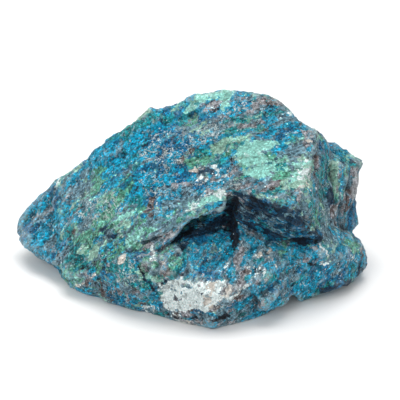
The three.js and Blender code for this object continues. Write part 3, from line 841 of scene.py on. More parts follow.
def lump_distance(points, relief):
    """Distance from the surface of the lump: below 0 inside it and above 0 outside.

    The largest of some distances is what their blocks share, and the smallest is what they
    make together. A distance turned below 0 cuts its block away.
    """
    heights = points[:, 2]
    points = swayed(points)
    hull = block_distance(points, HULL_BREAKS)
    crown = block_distance(points, CROWN_BREAKS)
    joined = [block_distance(points, CORE_BREAKS)]
    for half in (CROWN_LEFT_BREAKS, CROWN_RIGHT_BREAKS, BROW_BREAKS):
        joined.append(smooth_max(crown, block_distance(points, half), BLOCK_ROUNDING))
    neck = block_distance(points, NECK_BREAKS)
    joined.append(smooth_max(crown + NECK_INSET, neck, BLOCK_ROUNDING))
    joined = [smooth_max(distance, hull, BLOCK_ROUNDING) for distance in joined]
    for block in (BRIDGE_BREAKS, RIGHT_FOOT_BREAKS, SIDE_BLOCK_BREAKS, TONGUE_BREAKS, KNOB_BREAKS):
        joined.append(block_distance(points, block))
    solid = joined[0]
    for distance in joined[1:]:
        solid = smooth_min(solid, distance, JOIN_ROUNDING)
    solid = solid - relief * folded_relief(points)
    for hollow in (NOTCH_BREAKS, CAVITY_BREAKS):
        solid = smooth_max(solid, -block_distance(points, hollow), JOIN_ROUNDING)
    crack = block_distance(points, CRACK_BREAKS, CRACK_ROUNDING)
    solid = smooth_max(solid, -crack, CRACK_ROUNDING)
    return smooth_max(solid, -heights, REST_ROUNDING)


# ------------------------------------------------------------------ the closed grid


def cube_lattice(cells):
    """A cube's surface as six square sheets of lattice points, stitched along their edges.

    Gives the point number at each place of the six sheets, the points' whole-number
    places on the cube, and the square cells, turned to face outwards.
    """
    u, v = np.meshgrid(np.arange(cells + 1), np.arange(cells + 1), indexing="ij")
    sheets, outward = [], []
    for axis in range(3):
        for side in (0, cells):
            spot = np.empty(u.shape + (3,), int)
            spot[..., axis] = side
            spot[..., (axis + 1) % 3] = u
            spot[..., (axis + 2) % 3] = v
            sheets.append(spot)
            outward.append(side > 0)
    sheets = np.array(sheets)
    keys = (sheets[..., 0] * (cells + 1) + sheets[..., 1]) * (cells + 1) + sheets[..., 2]
    unique, numbers = np.unique(keys, return_inverse=True)
    numbers = numbers.reshape(keys.shape)
    spots = np.stack([unique // (cells + 1) ** 2, unique // (cells + 1) % (cells + 1),
                      unique % (cells + 1)], 1)
    corners = [numbers[:, :-1, :-1], numbers[:, 1:, :-1], numbers[:, 1:, 1:], numbers[:, :-1, 1:]]
    squares = np.stack(corners, -1).reshape(6, -1, 4)
    for sheet, faces_out in enumerate(outward):
        if not faces_out:
            squares[sheet] = squares[sheet][:, ::-1]
    return numbers, spots, squares.reshape(-1, 4)


def refined(numbers, places, finer_numbers, count):
    """Places for a lattice twice as fine: new points lie midway between the old ones."""
    old = places[numbers]
    sheets = np.empty((6,) + finer_numbers.shape[1:] + (3,))
    sheets[:, ::2, ::2] = old
    sheets[:, 1::2, ::2] = (old[:, 1:] + old[:, :-1]) / 2
    sheets[:, :, 1::2] = (sheets[:, :, 2::2] + sheets[:, :, :-2:2]) / 2
    finer = np.empty((count, 3))
    finer[finer_numbers.ravel()] = sheets.reshape(-1, 3)
    return finer


def evened(places, squares):
    """Moves points towards the mean of their neighbours along the lattice lines."""
    start = np.concatenate([squares.ravel(), np.roll(squares, -1, 1).ravel()])
    end = np.concatenate([np.roll(squares, -1, 1).ravel(), squares.ravel()])
    count = np.bincount(start, minlength=len(places))
    sums = [np.bincount(start, places[end, k], len(places)) for k in range(3)]
    return places + EVENING * (np.stack(sums, 1) / count[:, None] - places)


def dropped(places, distance):
    """Moves points towards the surface, straight down the slope of the distance."""
    here = distance(places)
    slope = np.stack([distance(places + step) - here for step in np.eye(3) * PROBE], 1) / PROBE
    steep = np.maximum((slope * slope).sum(1), GENTLEST_SLOPE)
    return places + slope * np.clip(-here / steep, -LONGEST_DROP, LONGEST_DROP)[:, None]


def cast(places, distance):
    """Moves points from outside straight in towards the heart until they meet the surface."""
    inward = LUMP_HEART - places
    inward /= np.linalg.norm(inward, axis=1, keepdims=True)
    for _ in range(CAST_STEPS):
        places = places + inward * (CAST_SHARE * distance(places))[:, None]
    return places


def tight_grid(cells, distance):
    """The lump's grid: a sphere of points cast onto the form, then made finer twice.

    In each round every point moves to the middle of its neighbours and drops back down on
    the surface, so that the grid slides into the recess and spreads evenly there.
    """
    sizes = [cells // 2 ** i for i in range(len(SETTLE_ROUNDS))][::-1]
    numbers, spots, squares = cube_lattice(sizes[0])
    directions = spots / (sizes[0] / 2) - 1
    directions /= np.linalg.norm(directions, axis=1, keepdims=True)
    places = cast(directions * GRID_REACH + LUMP_HEART, distance)
    for size, rounds in zip(sizes, SETTLE_ROUNDS):
        if size > sizes[0]:
            finer_numbers, spots, squares = cube_lattice(size)
            places = refined(numbers, places, finer_numbers, len(spots))
            numbers = finer_numbers
        for _ in range(rounds):
            places = dropped(evened(places, squares), distance)
    for _ in range(LAST_DROPS):
        places = dropped(places, distance)
    return places, squares


def triangles_of(places, squares):
    """Each square becomes two triangles, parted along its shorter diagonal."""
    a, b, c, d = squares.T
    first = np.linalg.norm(places[a] - places[c], axis=1)
    second = np.linalg.norm(places[b] - places[d], axis=1)
    short = (first < second)[:, None]
    one = np.where(short, np.stack([a, b, c], 1), np.stack([a, b, d], 1))
    two = np.where(short, np.stack([a, c, d], 1), np.stack([b, c, d], 1))
    return np.concatenate([one, two])


def point_normals(places, triangles):
    """Outward directions at the points: the sum of the crossed edges of the triangles."""
    a, b, c = (places[triangles[:, i]] for i in range(3))
    crossed = np.cross(b - a, c - a)
    sums = [np.bincount(triangles.ravel(), np.repeat(crossed[:, k], 3), len(places))
            for k in range(3)]
    normals = np.stack(sums, 1)
    return normals / np.maximum(np.linalg.norm(normals, axis=1, keepdims=True), LEAST_LENGTH)


# ------------------------------------------------------------------ roughness


def hashed(cells, seed):
    """A steady scattered number from 0 to 1 for each whole-number cell."""
    mixed = np.sin(cells @ np.array(SCATTER) + seed * SCATTER_SEED) * SCATTER_SCALE
    return mixed - np.floor(mixed)


def noise(points, size, seed=0):
    """Soft lumps of about the given size, from -1 to 1: scattered values at the corners
    of a cubic lattice, blended between them along smooth steps."""
    scaled = points / size + seed * SEED_SHIFT
    base = np.floor(scaled)
    t = scaled - base
    t = t * t * t * (t * (t * 6 - 15) + 10)
    total = 0
    for corner in np.ndindex(2, 2, 2):
        weight = np.prod(np.where(np.array(corner), t, 1 - t), axis=1)
        total = total + weight * hashed(base + corner, seed)
    return total * 2 - 1


def layered_noise(points, size, layers, seed=0):
    """Lumps on lumps: each layer half the size and a little over half as strong."""
    total, strength = 0, 1.0
    for layer in range(layers):
        total = total + strength * noise(points, size * 0.5 ** layer, seed + layer)
        strength *= LAYER_STRENGTH
    return total


def swayed(points):
    """Pushes points to and fro in soft lumps, so that the blocks' edges run unevenly."""
    pushes = [noise(points, SWAY_SIZE, seed) for seed in SWAY_SEEDS]
    return points + SWAY_PUSH * np.stack(pushes, 1)


def facets(points, size, seed=0):
    """Broken grains of about the given size, each a tilted flat, from about -1 to 1.

    Every cell of a cubic lattice holds one scattered heart. A point belongs to the nearest
    heart, and its height is that grain's own level plus its tilt times the way from it.
    Also gives how far the point lies from the border with the next grain, in sizes.
    """
    scaled = points / size
    base = np.floor(scaled)
    nearest = np.full(len(points), np.inf)
    second = np.full(len(points), np.inf)
    height = np.zeros(len(points))
    for shift in np.ndindex(3, 3, 3):
        cell = base + np.array(shift) - 1
        jitter = np.stack([hashed(cell, seed + k) for k in (1, 2, 3)], 1)
        tilt = np.stack([hashed(cell, seed + k) for k in (4, 5, 6)], 1) * 2 - 1
        away = scaled - cell - jitter
        distance = np.linalg.norm(away, axis=1)
        level = hashed(cell, seed + 7) - 0.5 + (away * tilt).sum(1) * GRAIN_TILT
        closer = distance < nearest
        second = np.where(closer, nearest, np.minimum(second, distance))
        nearest = np.where(closer, distance, nearest)
        height = np.where(closer, level, height)
    return height, second - nearest


def roughened(places, normals, runs, shape):
    """Breaks the surface into tilted grains, with streaked finer grain over them."""
    push = noise(places, *BORDER_LUMPS)[:, None]
    height = shape.grain_depth * streaked_noise(places, runs, *STREAKED_RELIEF)
    for size, share, pushed, seed in BROKEN_GRAINS:
        level, border = facets(places + pushed * push, size, seed)
        height += shape.facet_depth * share * level * np.clip(border * BORDER_RISE, 0, 1)
    height *= np.clip(places[:, 2] / SMOOTH_FOOT, 0, 1)
    roughed = places + normals * height[:, None]
    roughed[:, 2] = np.maximum(roughed[:, 2], 0)
    return roughed


# ------------------------------------------------------------------ where the minerals lie


def softly(x, low, high):
    """Runs smoothly from 0 at one value to 1 at another."""
    t = np.clip((x - low) / (high - low), 0, 1)
    return t * t * (3 - 2 * t)


def inside(chart, across, up, long, wide, turn):
    """How far chart points lie inside a turned ellipse: 1 in its middle, 0 well outside."""
    c, s = math.cos(math.radians(turn)), math.sin(math.radians(turn))
    away = chart - (across, up)
    reach = np.hypot((away @ (c, s)) / long, (away @ (-s, c)) / wide)
    return softly(reach, *PATCH_EDGE)


def front_chart(places):
    """Places on the front chart, ragged by lumps on lumps so that no border is a clean curve."""
    chart = np.stack([places[:, 0], places @ CHART_UP], 1)
    size, strength = PATCH_RAGGEDNESS
    ragged = [layered_noise(places, size, LUMP_LAYERS, seed) for seed in FRAY_SEEDS]
    return chart + strength * np.stack(ragged, 1)


def country_rock(places):
    """Shares of the minerals away from the patches: broad clouds of each, from soft noise."""
    shares = np.full((len(places), len(MINERALS)), LEAST_SHARE)
    for name, size, level in COUNTRY_ROCK:
        number = MINERAL_NAMES.index(name)
        cloud = layered_noise(places, size, LUMP_LAYERS, CLOUD_SEED + number)
        shares[:, number] = softly(cloud, *CLOUD_EDGE) * level
    return shares / shares.sum(1, keepdims=True)


def along(places, direction, stretch, fineness):
    """A space drawn out along a direction, so that lumps in it come out as streaks."""
    run = np.array(direction) / np.linalg.norm(direction)
    return (places - (1 - 1 / stretch) * (places @ run)[:, None] * run) * fineness


def streaked_noise(places, runs, size, layers, seed):
    """Layered noise drawn out along the run that rules at each point."""
    total = np.zeros(len(places))
    shares = np.concatenate([1 - runs.sum(1, keepdims=True), runs], 1)
    for (direction, stretch, fineness, _), share in zip(GRAIN_RUNS, shares.T):
        near = np.flatnonzero(share > LEAST_RULE)
        drawn_out = along(places[near], direction, stretch, fineness)
        total[near] += share[near] * layered_noise(drawn_out, size, layers, seed)
    return total


def mineral_shares(places, normals, chart, runs):
    """Each mineral's share at each point: the country rock with the patches laid over it.

    Patches fade out where the rock turns away from the front. Part of each mineral is then
    made over to its companions, and each gathers in streaks of its own: its share is
    multiplied by e to the power of a streaked noise.
    """
    shares = country_rock(places)
    fronts = softly(normals @ CHART_FRONT, *FRONT_EDGE)
    for name, *patch, share in PATCHES:
        cover = inside(chart, *patch) * share * fronts
        shares *= 1 - cover[:, None]
        shares[:, MINERAL_NAMES.index(name)] += cover
    mixing = np.eye(len(MINERALS))
    for name, others in COMPANIONS.items():
        row = mixing[MINERAL_NAMES.index(name)]
        row[MINERAL_NAMES.index(name)] -= sum(others.values())
        for other, part in others.items():
            row[MINERAL_NAMES.index(other)] = part
    shares = shares @ mixing
    for i in range(len(MINERALS)):
        streaks = streaked_noise(places, runs, STREAK_SIZE, STREAK_LAYERS, STREAK_SEED + i)
        shares[:, i] *= np.exp(STREAK_STRENGTH * streaks)
    return shares / shares.sum(1, keepdims=True)


def layer_covers(shares):
    """What part of the layers below each layer hides, so that its own share is left."""
    return shares / np.maximum(np.cumsum(shares, 1), LEAST_TOTAL)


def densities(chart, rows):
    """The strongest of some patches' densities at each point."""
    dense = np.zeros(len(chart))
    for *patch, density in rows:
        dense = np.maximum(dense, density * inside(chart, *patch))
    return dense


def grain_shares(chart):
    """How far each of the grain's runs rules at each point."""
    shares = np.zeros((len(chart), len(GRAIN_RUNS)))
    shares[:, 0] = 1
    for i, (_, _, _, patches) in enumerate(GRAIN_RUNS):
        for patch in patches:
            cover = inside(chart, *patch)
            shares *= 1 - cover[:, None]
            shares[:, i] += cover
    return shares


def hollowness(places, squares, normals):
    """How deep each point lies under the mean of those round it, in mm; ridges are below 0."""
    smoothed = places
    for _ in range(HOLLOW_ROUNDS):
        smoothed = evened(smoothed, squares)
    return ((smoothed - places) * normals).sum(1)


# ------------------------------------------------------------------ meshes in Blender


def new_object(name, places, faces, smooth=True):
    """Puts points, in metres, and faces into a mesh object at the origin."""
    mesh = bpy.data.meshes.new(name)
    mesh.from_pydata(places.tolist(), [], faces.tolist())
    mesh.polygons.foreach_set("use_smooth", np.full(len(mesh.polygons), smooth))
    mesh.update()
    thing = bpy.data.objects.new(name, mesh)
    bpy.context.collection.objects.link(thing)
    return thing


def paint(thing, name, values):
    """Keeps three or four values at each point as a colour attribute."""
    full = np.ones((len(values), 4), np.float32)
    full[:, :values.shape[1]] = values
    attribute = thing.data.attributes.new(name, "FLOAT_COLOR", "POINT")
    attribute.data.foreach_set("color", full.ravel())


def fitted(places):
    """Sets the lump, in millimetres, into its node's box, in metres."""
    low, high = places.min(0), places.max(0)
    return (places - low) / (high - low) * (HIGH - LOW) + LOW


# ------------------------------------------------------------------ material


def linear(colour):
    """Turns sRGB from 0 to 255 into the linear values that Blender wants."""
    values = np.array(colour) / 255
    low, high = values / 12.92, ((values + 0.055) / 1.055) ** 2.4
    return tuple(float(v) for v in np.where(values <= 0.04045, low, high))


def add(tree, kind, inputs=None, **settings):
    """Adds a node. Each input is either a socket to link from or a plain value."""
    node = tree.nodes.new(kind)
    for name, value in settings.items():
        setattr(node, name, value)
    for name, value in (inputs or {}).items():
        if isinstance(value, bpy.types.NodeSocket):
            tree.links.new(value, node.inputs[name])
        else:
            node.inputs[name].default_value = value
    return node


def maths(tree, operation, *values, clamp=False):
    """Adds a Math node and gives its result."""
    node = add(tree, "ShaderNodeMath", dict(enumerate(values)), operation=operation)
    node.use_clamp = clamp
    return node.outputs[0]


def blended(tree, share, below, above, blend="MIX"):
    """Adds a colour Mix node and gives its result."""
    node = tree.nodes.new("ShaderNodeMix")
    node.data_type = "RGBA"
    node.blend_type = blend
    sockets = [socket for socket in node.inputs if socket.enabled]
    for socket, value in zip(sockets, (share, below, above)):
        if isinstance(value, bpy.types.NodeSocket):
            tree.links.new(value, socket)
        else:
            socket.default_value = value
    return next(socket for socket in node.outputs if socket.enabled)


def new_group(name, inputs, outputs):
    """A node group with named sockets: each is a name, a kind and a first value."""
    group = bpy.data.node_groups.new(name, "ShaderNodeTree")
    for socket_name, kind, value in inputs:
        socket_type = "NodeSocket" + kind
        socket = group.interface.new_socket(socket_name, in_out="INPUT", socket_type=socket_type)
        if value is not None:
            socket.default_value = value
    for socket_name, kind in outputs:
        socket_type = "NodeSocket" + kind
        group.interface.new_socket(socket_name, in_out="OUTPUT", socket_type=socket_type)
    given = group.nodes.new("NodeGroupInput").outputs
    return group, given, group.nodes.new("NodeGroupOutput").inputs


# What both kinds of grain are given.
GRAIN_INPUTS = [("Place", "Vector", None), ("Size", "Float", 1.0), ("Shift", "Float", 0.0),
                ("Detail", "Float", 3.0)]


def place_in_grains(group, given):
    """The place, shifted alike along all three axes, counted in sizes of the grain."""
    shifted = add(group, "ShaderNodeVectorMath", {0: given["Place"], 1: given["Shift"]},
                  operation="ADD")
    return add(group, "ShaderNodeVectorMath", {0: shifted.outputs[0], 1: given["Size"]},
               operation="DIVIDE").outputs[0]


def noise_in(group, given, space, roughness):
    """Three fields of noise, as a colour."""
    return add(group, "ShaderNodeTexNoise", {"Vector": space, "Scale": 1.0,
               "Detail": given["Detail"], "Roughness": roughness}).outputs["Color"]


def put_out_spread(group, fields, result):
    """Puts out the fields times the spread, shifted so that a half stays a half."""
    shift = (1 - NOISE_SPREAD) / 2
    spread = add(group, "ShaderNodeVectorMath", {0: fields, 1: (NOISE_SPREAD,) * 3, 2: (shift,) * 3},
                 operation="MULTIPLY_ADD")
    group.links.new(spread.outputs[0], result["Fields"])


def grain_group():
    """Three fields of streaked grain, each evenly spread from 0 to 1.

    Noise is read in one space for each of the grain's runs, drawn out along that run, and
    the spaces' fields are mixed by how far each run rules.
    """
    group, given, result = new_group(
        "Streaked grain",
        [*GRAIN_INPUTS, ("Runs", "Color", None), ("Last run", "Float", 0.0),
         ("Wall run", "Float", 0.0)],
        [("Fields", "Color")])
    place = place_in_grains(group, given)
    runs = add(group, "ShaderNodeSeparateColor", {0: given["Runs"]})
    rules = [None, *runs.outputs, given["Last run"], given["Wall run"]]
    fields = None
    for (direction, stretch, fineness, _), rule in zip(GRAIN_RUNS, rules):
        turned = Vector(direction).to_track_quat("X", "Z").to_euler()
        scale = (stretch / fineness, 1 / fineness, 1 / fineness)
        space = add(group, "ShaderNodeMapping", {"Vector": place, "Rotation": turned, "Scale": scale},
                    vector_type="TEXTURE").outputs[0]
        field = noise_in(group, given, space, STREAK_ROUGHNESS)
        fields = field if fields is None else blended(group, rule, fields, field)
    put_out_spread(group, fields, result)
    return group


def noise_group():
    """Three fields of fine even grain, each evenly spread from 0 to 1."""
    group, given, result = new_group("Fine grain", GRAIN_INPUTS, [("Fields", "Color")])
    fields = noise_in(group, given, place_in_grains(group, given), FINE_ROUGHNESS)
    put_out_spread(group, fields, result)
    return group


def layer_group():
    """Lays one mineral over what is below it, crisply, where its cover beats the field."""
    group, given, result = new_group(
        "Mineral layer",
        [("Below", "Color", None), ("Mineral", "Color", None), ("Cover", "Float", 0.0),
         ("Field", "Float", 0.5), ("Crispness", "Float", 5.0)],
        [("Colour", "Color")])
    eased = maths(group, "MULTIPLY_ADD", given["Cover"], 1 + 2 * COVER_MARGIN, -COVER_MARGIN)
    above = maths(group, "SUBTRACT", eased, given["Field"])
    mask = maths(group, "MULTIPLY_ADD", above, given["Crispness"], 0.5, clamp=True)
    group.links.new(blended(group, mask, given["Below"], given["Mineral"]), result["Colour"])
    return group


def flecks_group():
    """Small ragged flecks: where a field rises over a bar that falls as they thicken."""
    group, given, result = new_group(
        "Flecks",
        [("Grain", "Float", 0.5), ("Cloud", "Float", 0.5), ("Bar", "Float", 1.0),
         ("Density", "Float", 0.5)],
        [("Mask", "Float")])
    bar = maths(group, "MULTIPLY_ADD", given["Density"], -FLECK_THICKENING, given["Bar"])
    bar = maths(group, "MULTIPLY_ADD", given["Cloud"], -CLOUD_THICKENING, bar)
    over = maths(group, "SUBTRACT", given["Grain"], bar)
    group.links.new(maths(group, "MULTIPLY", over, FLECK_CRISPNESS, clamp=True), result["Mask"])
    return group


def rock_material(colours, surface):
    """The mineral mixture: one base mineral and twelve layers over it, flecks and veins.

    The tone of a grain is the product of four fields, each of them set about 1 by its own
    contrast, and the colour is multiplied by it.
    """
    material = bpy.data.materials.new("chrysocolla")
    material.use_nodes = True
    tree = material.node_tree
    shader = tree.nodes["Principled BSDF"]
    coordinates = add(tree, "ShaderNodeTexCoord").outputs["Object"]
    place = add(tree, "ShaderNodeVectorMath", {0: coordinates, "Scale": 1 / MM}, operation="SCALE")
    place = place.outputs[0]

    def group_node(group, **values):
        node = add(tree, "ShaderNodeGroup", node_tree=group)
        for name, value in values.items():
            socket = node.inputs[name.replace("_", " ").capitalize()]
            if isinstance(value, bpy.types.NodeSocket):
                tree.links.new(value, socket)
            else:
                socket.default_value = value
        return node.outputs

    def parts(colour):
        return add(tree, "ShaderNodeSeparateColor", {0: colour}).outputs

    def attribute(name):
        return add(tree, "ShaderNodeAttribute", attribute_name=name).outputs

    def opaque(mineral):
        return (*getattr(colours, mineral), 1)

    def fine_fields(size, shift, detail):
        return group_node(fine_grain, place=place, size=size, shift=shift, detail=detail)[0]

    def contrasted(field, contrast):
        return maths(tree, "MULTIPLY_ADD", field, contrast, 1 - contrast / 2)

    fine_grain = noise_group()
    runs = attribute("grain_runs")
    size, detail = STREAK_GRAIN
    streaks = parts(group_node(grain_group(), place=place, size=size, detail=detail, runs=runs["Color"],
                               last_run=runs["Alpha"], wall_run=attribute("wall_run")["Fac"])[0])

    # the minerals, crisp at first and then softened a little
    colour = opaque(MINERAL_NAMES[0])
    layer = layer_group()
    height = streaks[1]
    for sheet in range(SHEETS):
        covers = parts(attribute(f"covers_{sheet}")["Color"])
        fields = parts(fine_fields(SHEET_SIZES[sheet], SHEET_SHIFT * sheet, SHEET_DETAIL))
        for part, name in enumerate(MINERAL_NAMES[1 + 3 * sheet:4 + 3 * sheet]):
            colour = group_node(layer, below=colour, mineral=opaque(name), cover=covers[part],
                                field=fields[part], crispness=surface.crispness)[0]
        height = maths(tree, "MULTIPLY_ADD", fields[0], SHEET_HEIGHT, height)
    mean = attribute("mean_colour")
    colour = blended(tree, surface.softness, colour, mean["Color"])

    # lighter and darker grains
    wobble = fine_fields(*FINE_GRAIN["wobble"])
    wavered = add(tree, "ShaderNodeVectorMath", {0: wobble, 1: (TONE_WOBBLE,) * 3, 2: place},
                  operation="MULTIPLY_ADD").outputs[0]
    cells = add(tree, "ShaderNodeTexVoronoi", {"Vector": wavered, "Scale": TONE_CELLS})
    cells = parts(cells.outputs["Color"])
    mottle = parts(fine_fields(*FINE_GRAIN["mottle"]))
    sparkle = parts(fine_fields(*FINE_GRAIN["sparkle"]))
    tone = contrasted(cells[0], surface.grain_contrast)
    for field, contrast in ((streaks[2], surface.fine_contrast), (mottle[0], surface.mottle),
                            (sparkle[0], surface.sparkle)):
        tone = maths(tree, "MULTIPLY", tone, contrasted(field, contrast))
    liveliness = maths(tree, "MULTIPLY_ADD", mean["Alpha"], CALMING[1], CALMING[0])
    tone = maths(tree, "MULTIPLY_ADD", maths(tree, "SUBTRACT", tone, 1.0), liveliness, 1.0)
    tone = maths(tree, "MAXIMUM", tone, DARKEST_TONE)
    grey = add(tree, "ShaderNodeCombineColor", {0: tone, 1: tone, 2: tone})
    colour = blended(tree, 1.0, colour, grey.outputs[0], "MULTIPLY")

    # ridges painted pale, as rubbed edges and as painted highlight, and hollows darkened with painted
    # shade
    marks = attribute("marks")
    pale_density, dark_density, ridges = parts(marks["Color"])
    # painted highlight and rubbed edges: ridges are mixed towards the pale colour
    worn_and_highlit = maths(tree, "MULTIPLY", maths(tree, "MULTIPLY", ridges, mottle[2]), surface.ridge_wear_and_highlight)
    colour = blended(tree, worn_and_highlit, colour, opaque("pale"))
    # painted shade: the hollows are darkened towards the ink colour
    hollow_shade = maths(tree, "MULTIPLY", marks["Alpha"], surface.hollow_shade)
    colour = blended(tree, hollow_shade, colour, opaque("ink"))

    # flecks and veins; pale and dark veins run where the first and second field cross a half
    clouds = parts(fine_fields(*FINE_GRAIN["clouds"]))
    away = [maths(tree, "ABSOLUTE", maths(tree, "SUBTRACT", field, 0.5))
            for field in parts(fine_fields(*FINE_GRAIN["veins"]))[:2]]
    sources = {"streaks": streaks, "flecks": parts(fine_fields(*FINE_GRAIN["flecks"])),
               "veins": [maths(tree, "MULTIPLY_ADD", field, -VEIN_SLOPE, VEIN_PEAK) for field in away]}
    flecks = flecks_group()
    for source, part, cloud, bar, mineral, strength in FLECK_KINDS:
        pale = mineral == "pale"
        mask = group_node(flecks, grain=sources[source][part], cloud=clouds[cloud], bar=bar,
                          density=pale_density if pale else dark_density)[0]
        share = maths(tree, "MULTIPLY", mask, strength)
        colour = blended(tree, share, colour, opaque(mineral))
        height = maths(tree, "MULTIPLY_ADD", mask, PALE_HEIGHT if pale else DARK_HEIGHT, height)

    tree.links.new(colour, shader.inputs["Base Color"])
    rough = maths(tree, "MULTIPLY_ADD", streaks[0], -ROUGHNESS_SPREAD,
                  surface.roughness + ROUGHNESS_SPREAD / 2)
    tree.links.new(rough, shader.inputs["Roughness"])
    shader.inputs["Specular IOR Level"].default_value = SPECULAR
    height = maths(tree, "MULTIPLY_ADD", cells[1], CELL_HEIGHT, height)
    height = maths(tree, "MULTIPLY_ADD", mottle[1], MOTTLE_HEIGHT, height)
    bump = add(tree, "ShaderNodeBump", {"Height": height, "Strength": 1.0,
               "Distance": surface.bump_depth * MM})
    tree.links.new(bump.outputs[0], shader.inputs["Normal"])
    return material


# ------------------------------------------------------------------ settings


class SpecimenShape(bpy.types.PropertyGroup):
    """How finely the lump is made, and how rough it is."""
    cells: bpy.props.IntProperty(
        name="Grid cells", description="Cells along a side of the grid, a multiple of 4",
        default=128, min=32, max=128)
    fold_depth: bpy.props.FloatProperty(
        name="Fold depth", description="Depth of the large folds, as a share of their full depth",
        default=0.6, min=0, max=2, subtype="FACTOR")
    facet_depth: bpy.props.FloatProperty(
        name="Facet depth", description="Depth of the broken grains, in millimetres",
        default=0.45, min=0, max=2)
    grain_depth: bpy.props.FloatProperty(
        name="Grain depth", description="Depth of the fine grain, in millimetres",
        default=0.3, min=0, max=2)


class MineralColours(bpy.types.PropertyGroup):
    """A colour for each mineral."""
    __annotations__ = {
        name: bpy.props.FloatVectorProperty(
            name=name.capitalize(), description=f"Colour of the {name} mineral",
            subtype="COLOR", default=linear(colour), min=0, max=1)
        for name, colour in MINERALS.items()}


class SurfaceSettings(bpy.types.PropertyGroup):
    """How the minerals and their grain look."""
    crispness: bpy.props.FloatProperty(
        name="Crispness", description="How sharp the borders of the minerals are",
        default=11.0, min=0.5, max=30)
    softness: bpy.props.FloatProperty(
        name="Softness", description="How far the minerals run into one another",
        default=0.15, min=0, max=1)
    grain_contrast: bpy.props.FloatProperty(
        name="Grain contrast", description="Difference in tone between grains",
        default=1.0, min=0, max=2)
    fine_contrast: bpy.props.FloatProperty(
        name="Fine contrast", description="Difference in tone inside a grain",
        default=1.6, min=0, max=2)
    mottle: bpy.props.FloatProperty(
        name="Mottle", description="Difference in tone between clouds of grains",
        default=0.5, min=0, max=2)
    sparkle: bpy.props.FloatProperty(
        name="Sparkle", description="Difference in tone between the finest grains",
        default=0.7, min=0, max=2)
    # how far the ridges are painted pale, as rubbed edges and as painted highlight
    ridge_wear_and_highlight: bpy.props.FloatProperty(
        name="Ridge wear and highlight", description="How pale the ridges are", default=0.45, min=0, max=1)
    # strength of the painted shade in the hollows
    hollow_shade: bpy.props.FloatProperty(
        name="Hollow shade", description="How dark the hollows are", default=0.7, min=0, max=1)
    roughness: bpy.props.FloatProperty(
        name="Roughness", description="Roughness of the rock", default=0.6, min=0, max=1)
    bump_depth: bpy.props.FloatProperty(
        name="Bump depth", description="Depth of the finest grain, in millimetres",
        default=0.7, min=0, max=2)


class StudioSettings(bpy.types.PropertyGroup):
    """The floor, and where the camera stands."""
    floor_colour: bpy.props.FloatVectorProperty(
        name="Floor", description="Colour of the floor", subtype="COLOR",
        default=(0.8, 0.8, 0.8), min=0, max=1)
    elevation: bpy.props.FloatProperty(
        name="Camera height", description="Angle of the camera above the floor",
        default=math.radians(25), subtype="ANGLE")
    distance: bpy.props.FloatProperty(
        name="Camera distance", description="From the middle of the picture to the camera",
        default=0.62, unit="LENGTH")


# ------------------------------------------------------------------ operators


def paint_minerals(rock, shares, calm, palette):
    """Keeps the layers' covers in sheets of three, and the mean colour with the calmness."""
    covers = layer_covers(shares)[:, 1:].reshape(-1, SHEETS, 3)
    for sheet in range(SHEETS):
        paint(rock, f"covers_{sheet}", covers[:, sheet])
    paint(rock, "mean_colour", np.concatenate([shares @ palette, calm[:, None]], 1))


def paint_runs(rock, runs):
    """Keeps how far each run of the grain rules: four in a colour, and the wall's by itself."""
    paint(rock, "grain_runs", runs[:, :4])
    wall_run = rock.data.attributes.new("wall_run", "FLOAT", "POINT")
    wall_run.data.foreach_set("value", runs[:, 4].astype(np.float32))


def paint_marks(rock, chart, depth, dark, calm):
    """Keeps how thick flecks and specks lie, which ridges are painted pale as rubbed edges and painted
    highlight, and which hollows get painted shade.
    """
    flecks = densities(chart, FLECKS) - DARK_HOLD * dark - calm
    specks = densities(chart, SPECKS) - calm
    ridges = softly(-depth, *RIDGE_HEIGHTS) * (1 - dark)
    paint(rock, "marks", np.stack([flecks, specks, ridges, softly(depth, *HOLLOW_DEPTHS)], 1))


class SPECIMEN_OT_rock(bpy.types.Operator):
    """Build the lump of chrysocolla"""
    bl_idname = "specimen.rock"
    bl_label = "Rock"

    def execute(self, context):
        scene = context.scene
        shape = scene.specimen_shape
        places, squares = tight_grid(
            shape.cells, lambda points: lump_distance(points, shape.fold_depth))
        triangles = triangles_of(places, squares)
        normals = point_normals(places, triangles)
        chart = front_chart(places)
        runs = grain_shares(chart)[:, 1:]
        shares = mineral_shares(places, normals, chart, runs)
        dark, calm = (shares[:, [MINERAL_NAMES.index(name) for name in some]].sum(1)
                      for some in (DARK_MINERALS, CALM_MINERALS))
        places = roughened(places, normals, runs, shape)
        depth = hollowness(places, squares, point_normals(places, triangles))
        palette = np.array([getattr(scene.specimen_colours, name) for name in MINERALS])

        rock = new_object("rock", fitted(places), triangles)
        paint_minerals(rock, shares, calm, palette)
        paint_runs(rock, runs)
        paint_marks(rock, chart, depth, dark, calm)
        rock.data.materials.append(rock_material(scene.specimen_colours, scene.specimen_surface))
        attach(rock, "root")
        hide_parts(NODE)
        return {"FINISHED"}


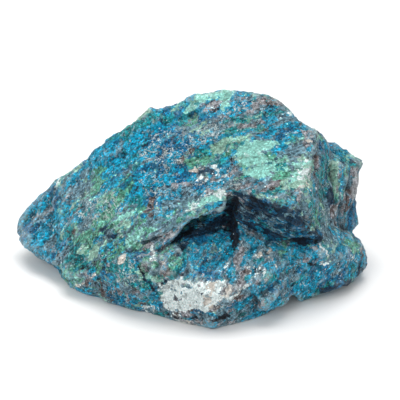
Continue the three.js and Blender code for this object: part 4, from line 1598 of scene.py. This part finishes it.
class SPECIMEN_OT_studio(bpy.types.Operator):
    """Lay the floor and set the lights and the camera"""
    bl_idname = "specimen.studio"
    bl_label = "Studio"

    def execute(self, context):
        scene = context.scene
        studio = scene.specimen_studio
        corners = np.array([(-1, -1, 0), (1, -1, 0), (1, 1, 0), (-1, 1, 0)]) * FLOOR_HALF
        floor = new_object("floor", corners - (0, 0, FLOOR_DROP), np.array([(0, 1, 2, 3)]), False)
        material = bpy.data.materials.new("pale floor")
        material.use_nodes = True
        shader = material.node_tree.nodes["Principled BSDF"]
        shader.inputs["Base Color"].default_value = (*studio.floor_colour, 1)
        shader.inputs["Roughness"].default_value = FLOOR_ROUGHNESS
        floor.data.materials.append(material)

        world = bpy.data.worlds.new("studio")
        world.use_nodes = True
        background = world.node_tree.nodes["Background"]
        background.inputs["Color"].default_value = (1, 1, 1, 1)
        background.inputs["Strength"].default_value = WORLD_STRENGTH
        scene.world = world

        for name, place, size, power in LIGHTS:
            lamp = bpy.data.lights.new(name, "AREA")
            lamp.size = size
            lamp.energy = power
            holder = bpy.data.objects.new(name, lamp)
            holder.location = place
            ahead = Vector(LIT_PLACE) - Vector(place)
            holder.rotation_euler = ahead.to_track_quat("-Z", "Y").to_euler()
            context.collection.objects.link(holder)

        camera = bpy.data.cameras.new("camera")
        camera.lens = CAMERA_LENS
        camera.sensor_width = CAMERA_SENSOR
        camera.clip_end = CAMERA_REACH
        eye = bpy.data.objects.new("camera", camera)
        back = Vector((0, -math.cos(studio.elevation), math.sin(studio.elevation)))
        eye.location = Vector(VIEWED_PLACE) + back * studio.distance
        eye.rotation_euler = (-back).to_track_quat("-Z", "Y").to_euler()
        context.collection.objects.link(eye)
        scene.camera = eye
        scene.view_settings.view_transform = "Standard"
        return {"FINISHED"}


class SPECIMEN_PT_panel(bpy.types.Panel):
    """Lists what the add-on builds"""
    bl_label = "Specimen"
    bl_idname = "SPECIMEN_PT_panel"
    bl_space_type = "VIEW_3D"
    bl_region_type = "UI"
    bl_category = "Specimen"

    def draw(self, context):
        for operator in (SPECIMEN_OT_rock, SPECIMEN_OT_studio):
            self.layout.operator(operator.bl_idname)


SETTINGS = {
    "specimen_shape": SpecimenShape,
    "specimen_colours": MineralColours,
    "specimen_surface": SurfaceSettings,
    "specimen_studio": StudioSettings,
}
CLASSES = (*SETTINGS.values(), SPECIMEN_OT_rock, SPECIMEN_OT_studio, SPECIMEN_PT_panel)


def register():
    for kind in CLASSES:
        bpy.utils.register_class(kind)
    for name, kind in SETTINGS.items():
        setattr(bpy.types.Scene, name, bpy.props.PointerProperty(type=kind))


def unregister():
    for name in SETTINGS:
        delattr(bpy.types.Scene, name)
    for kind in reversed(CLASSES):
        bpy.utils.unregister_class(kind)


def main():
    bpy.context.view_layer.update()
    register()
    bpy.ops.specimen.rock()
    bpy.ops.specimen.studio()


if __name__ == "__main__":
    main()
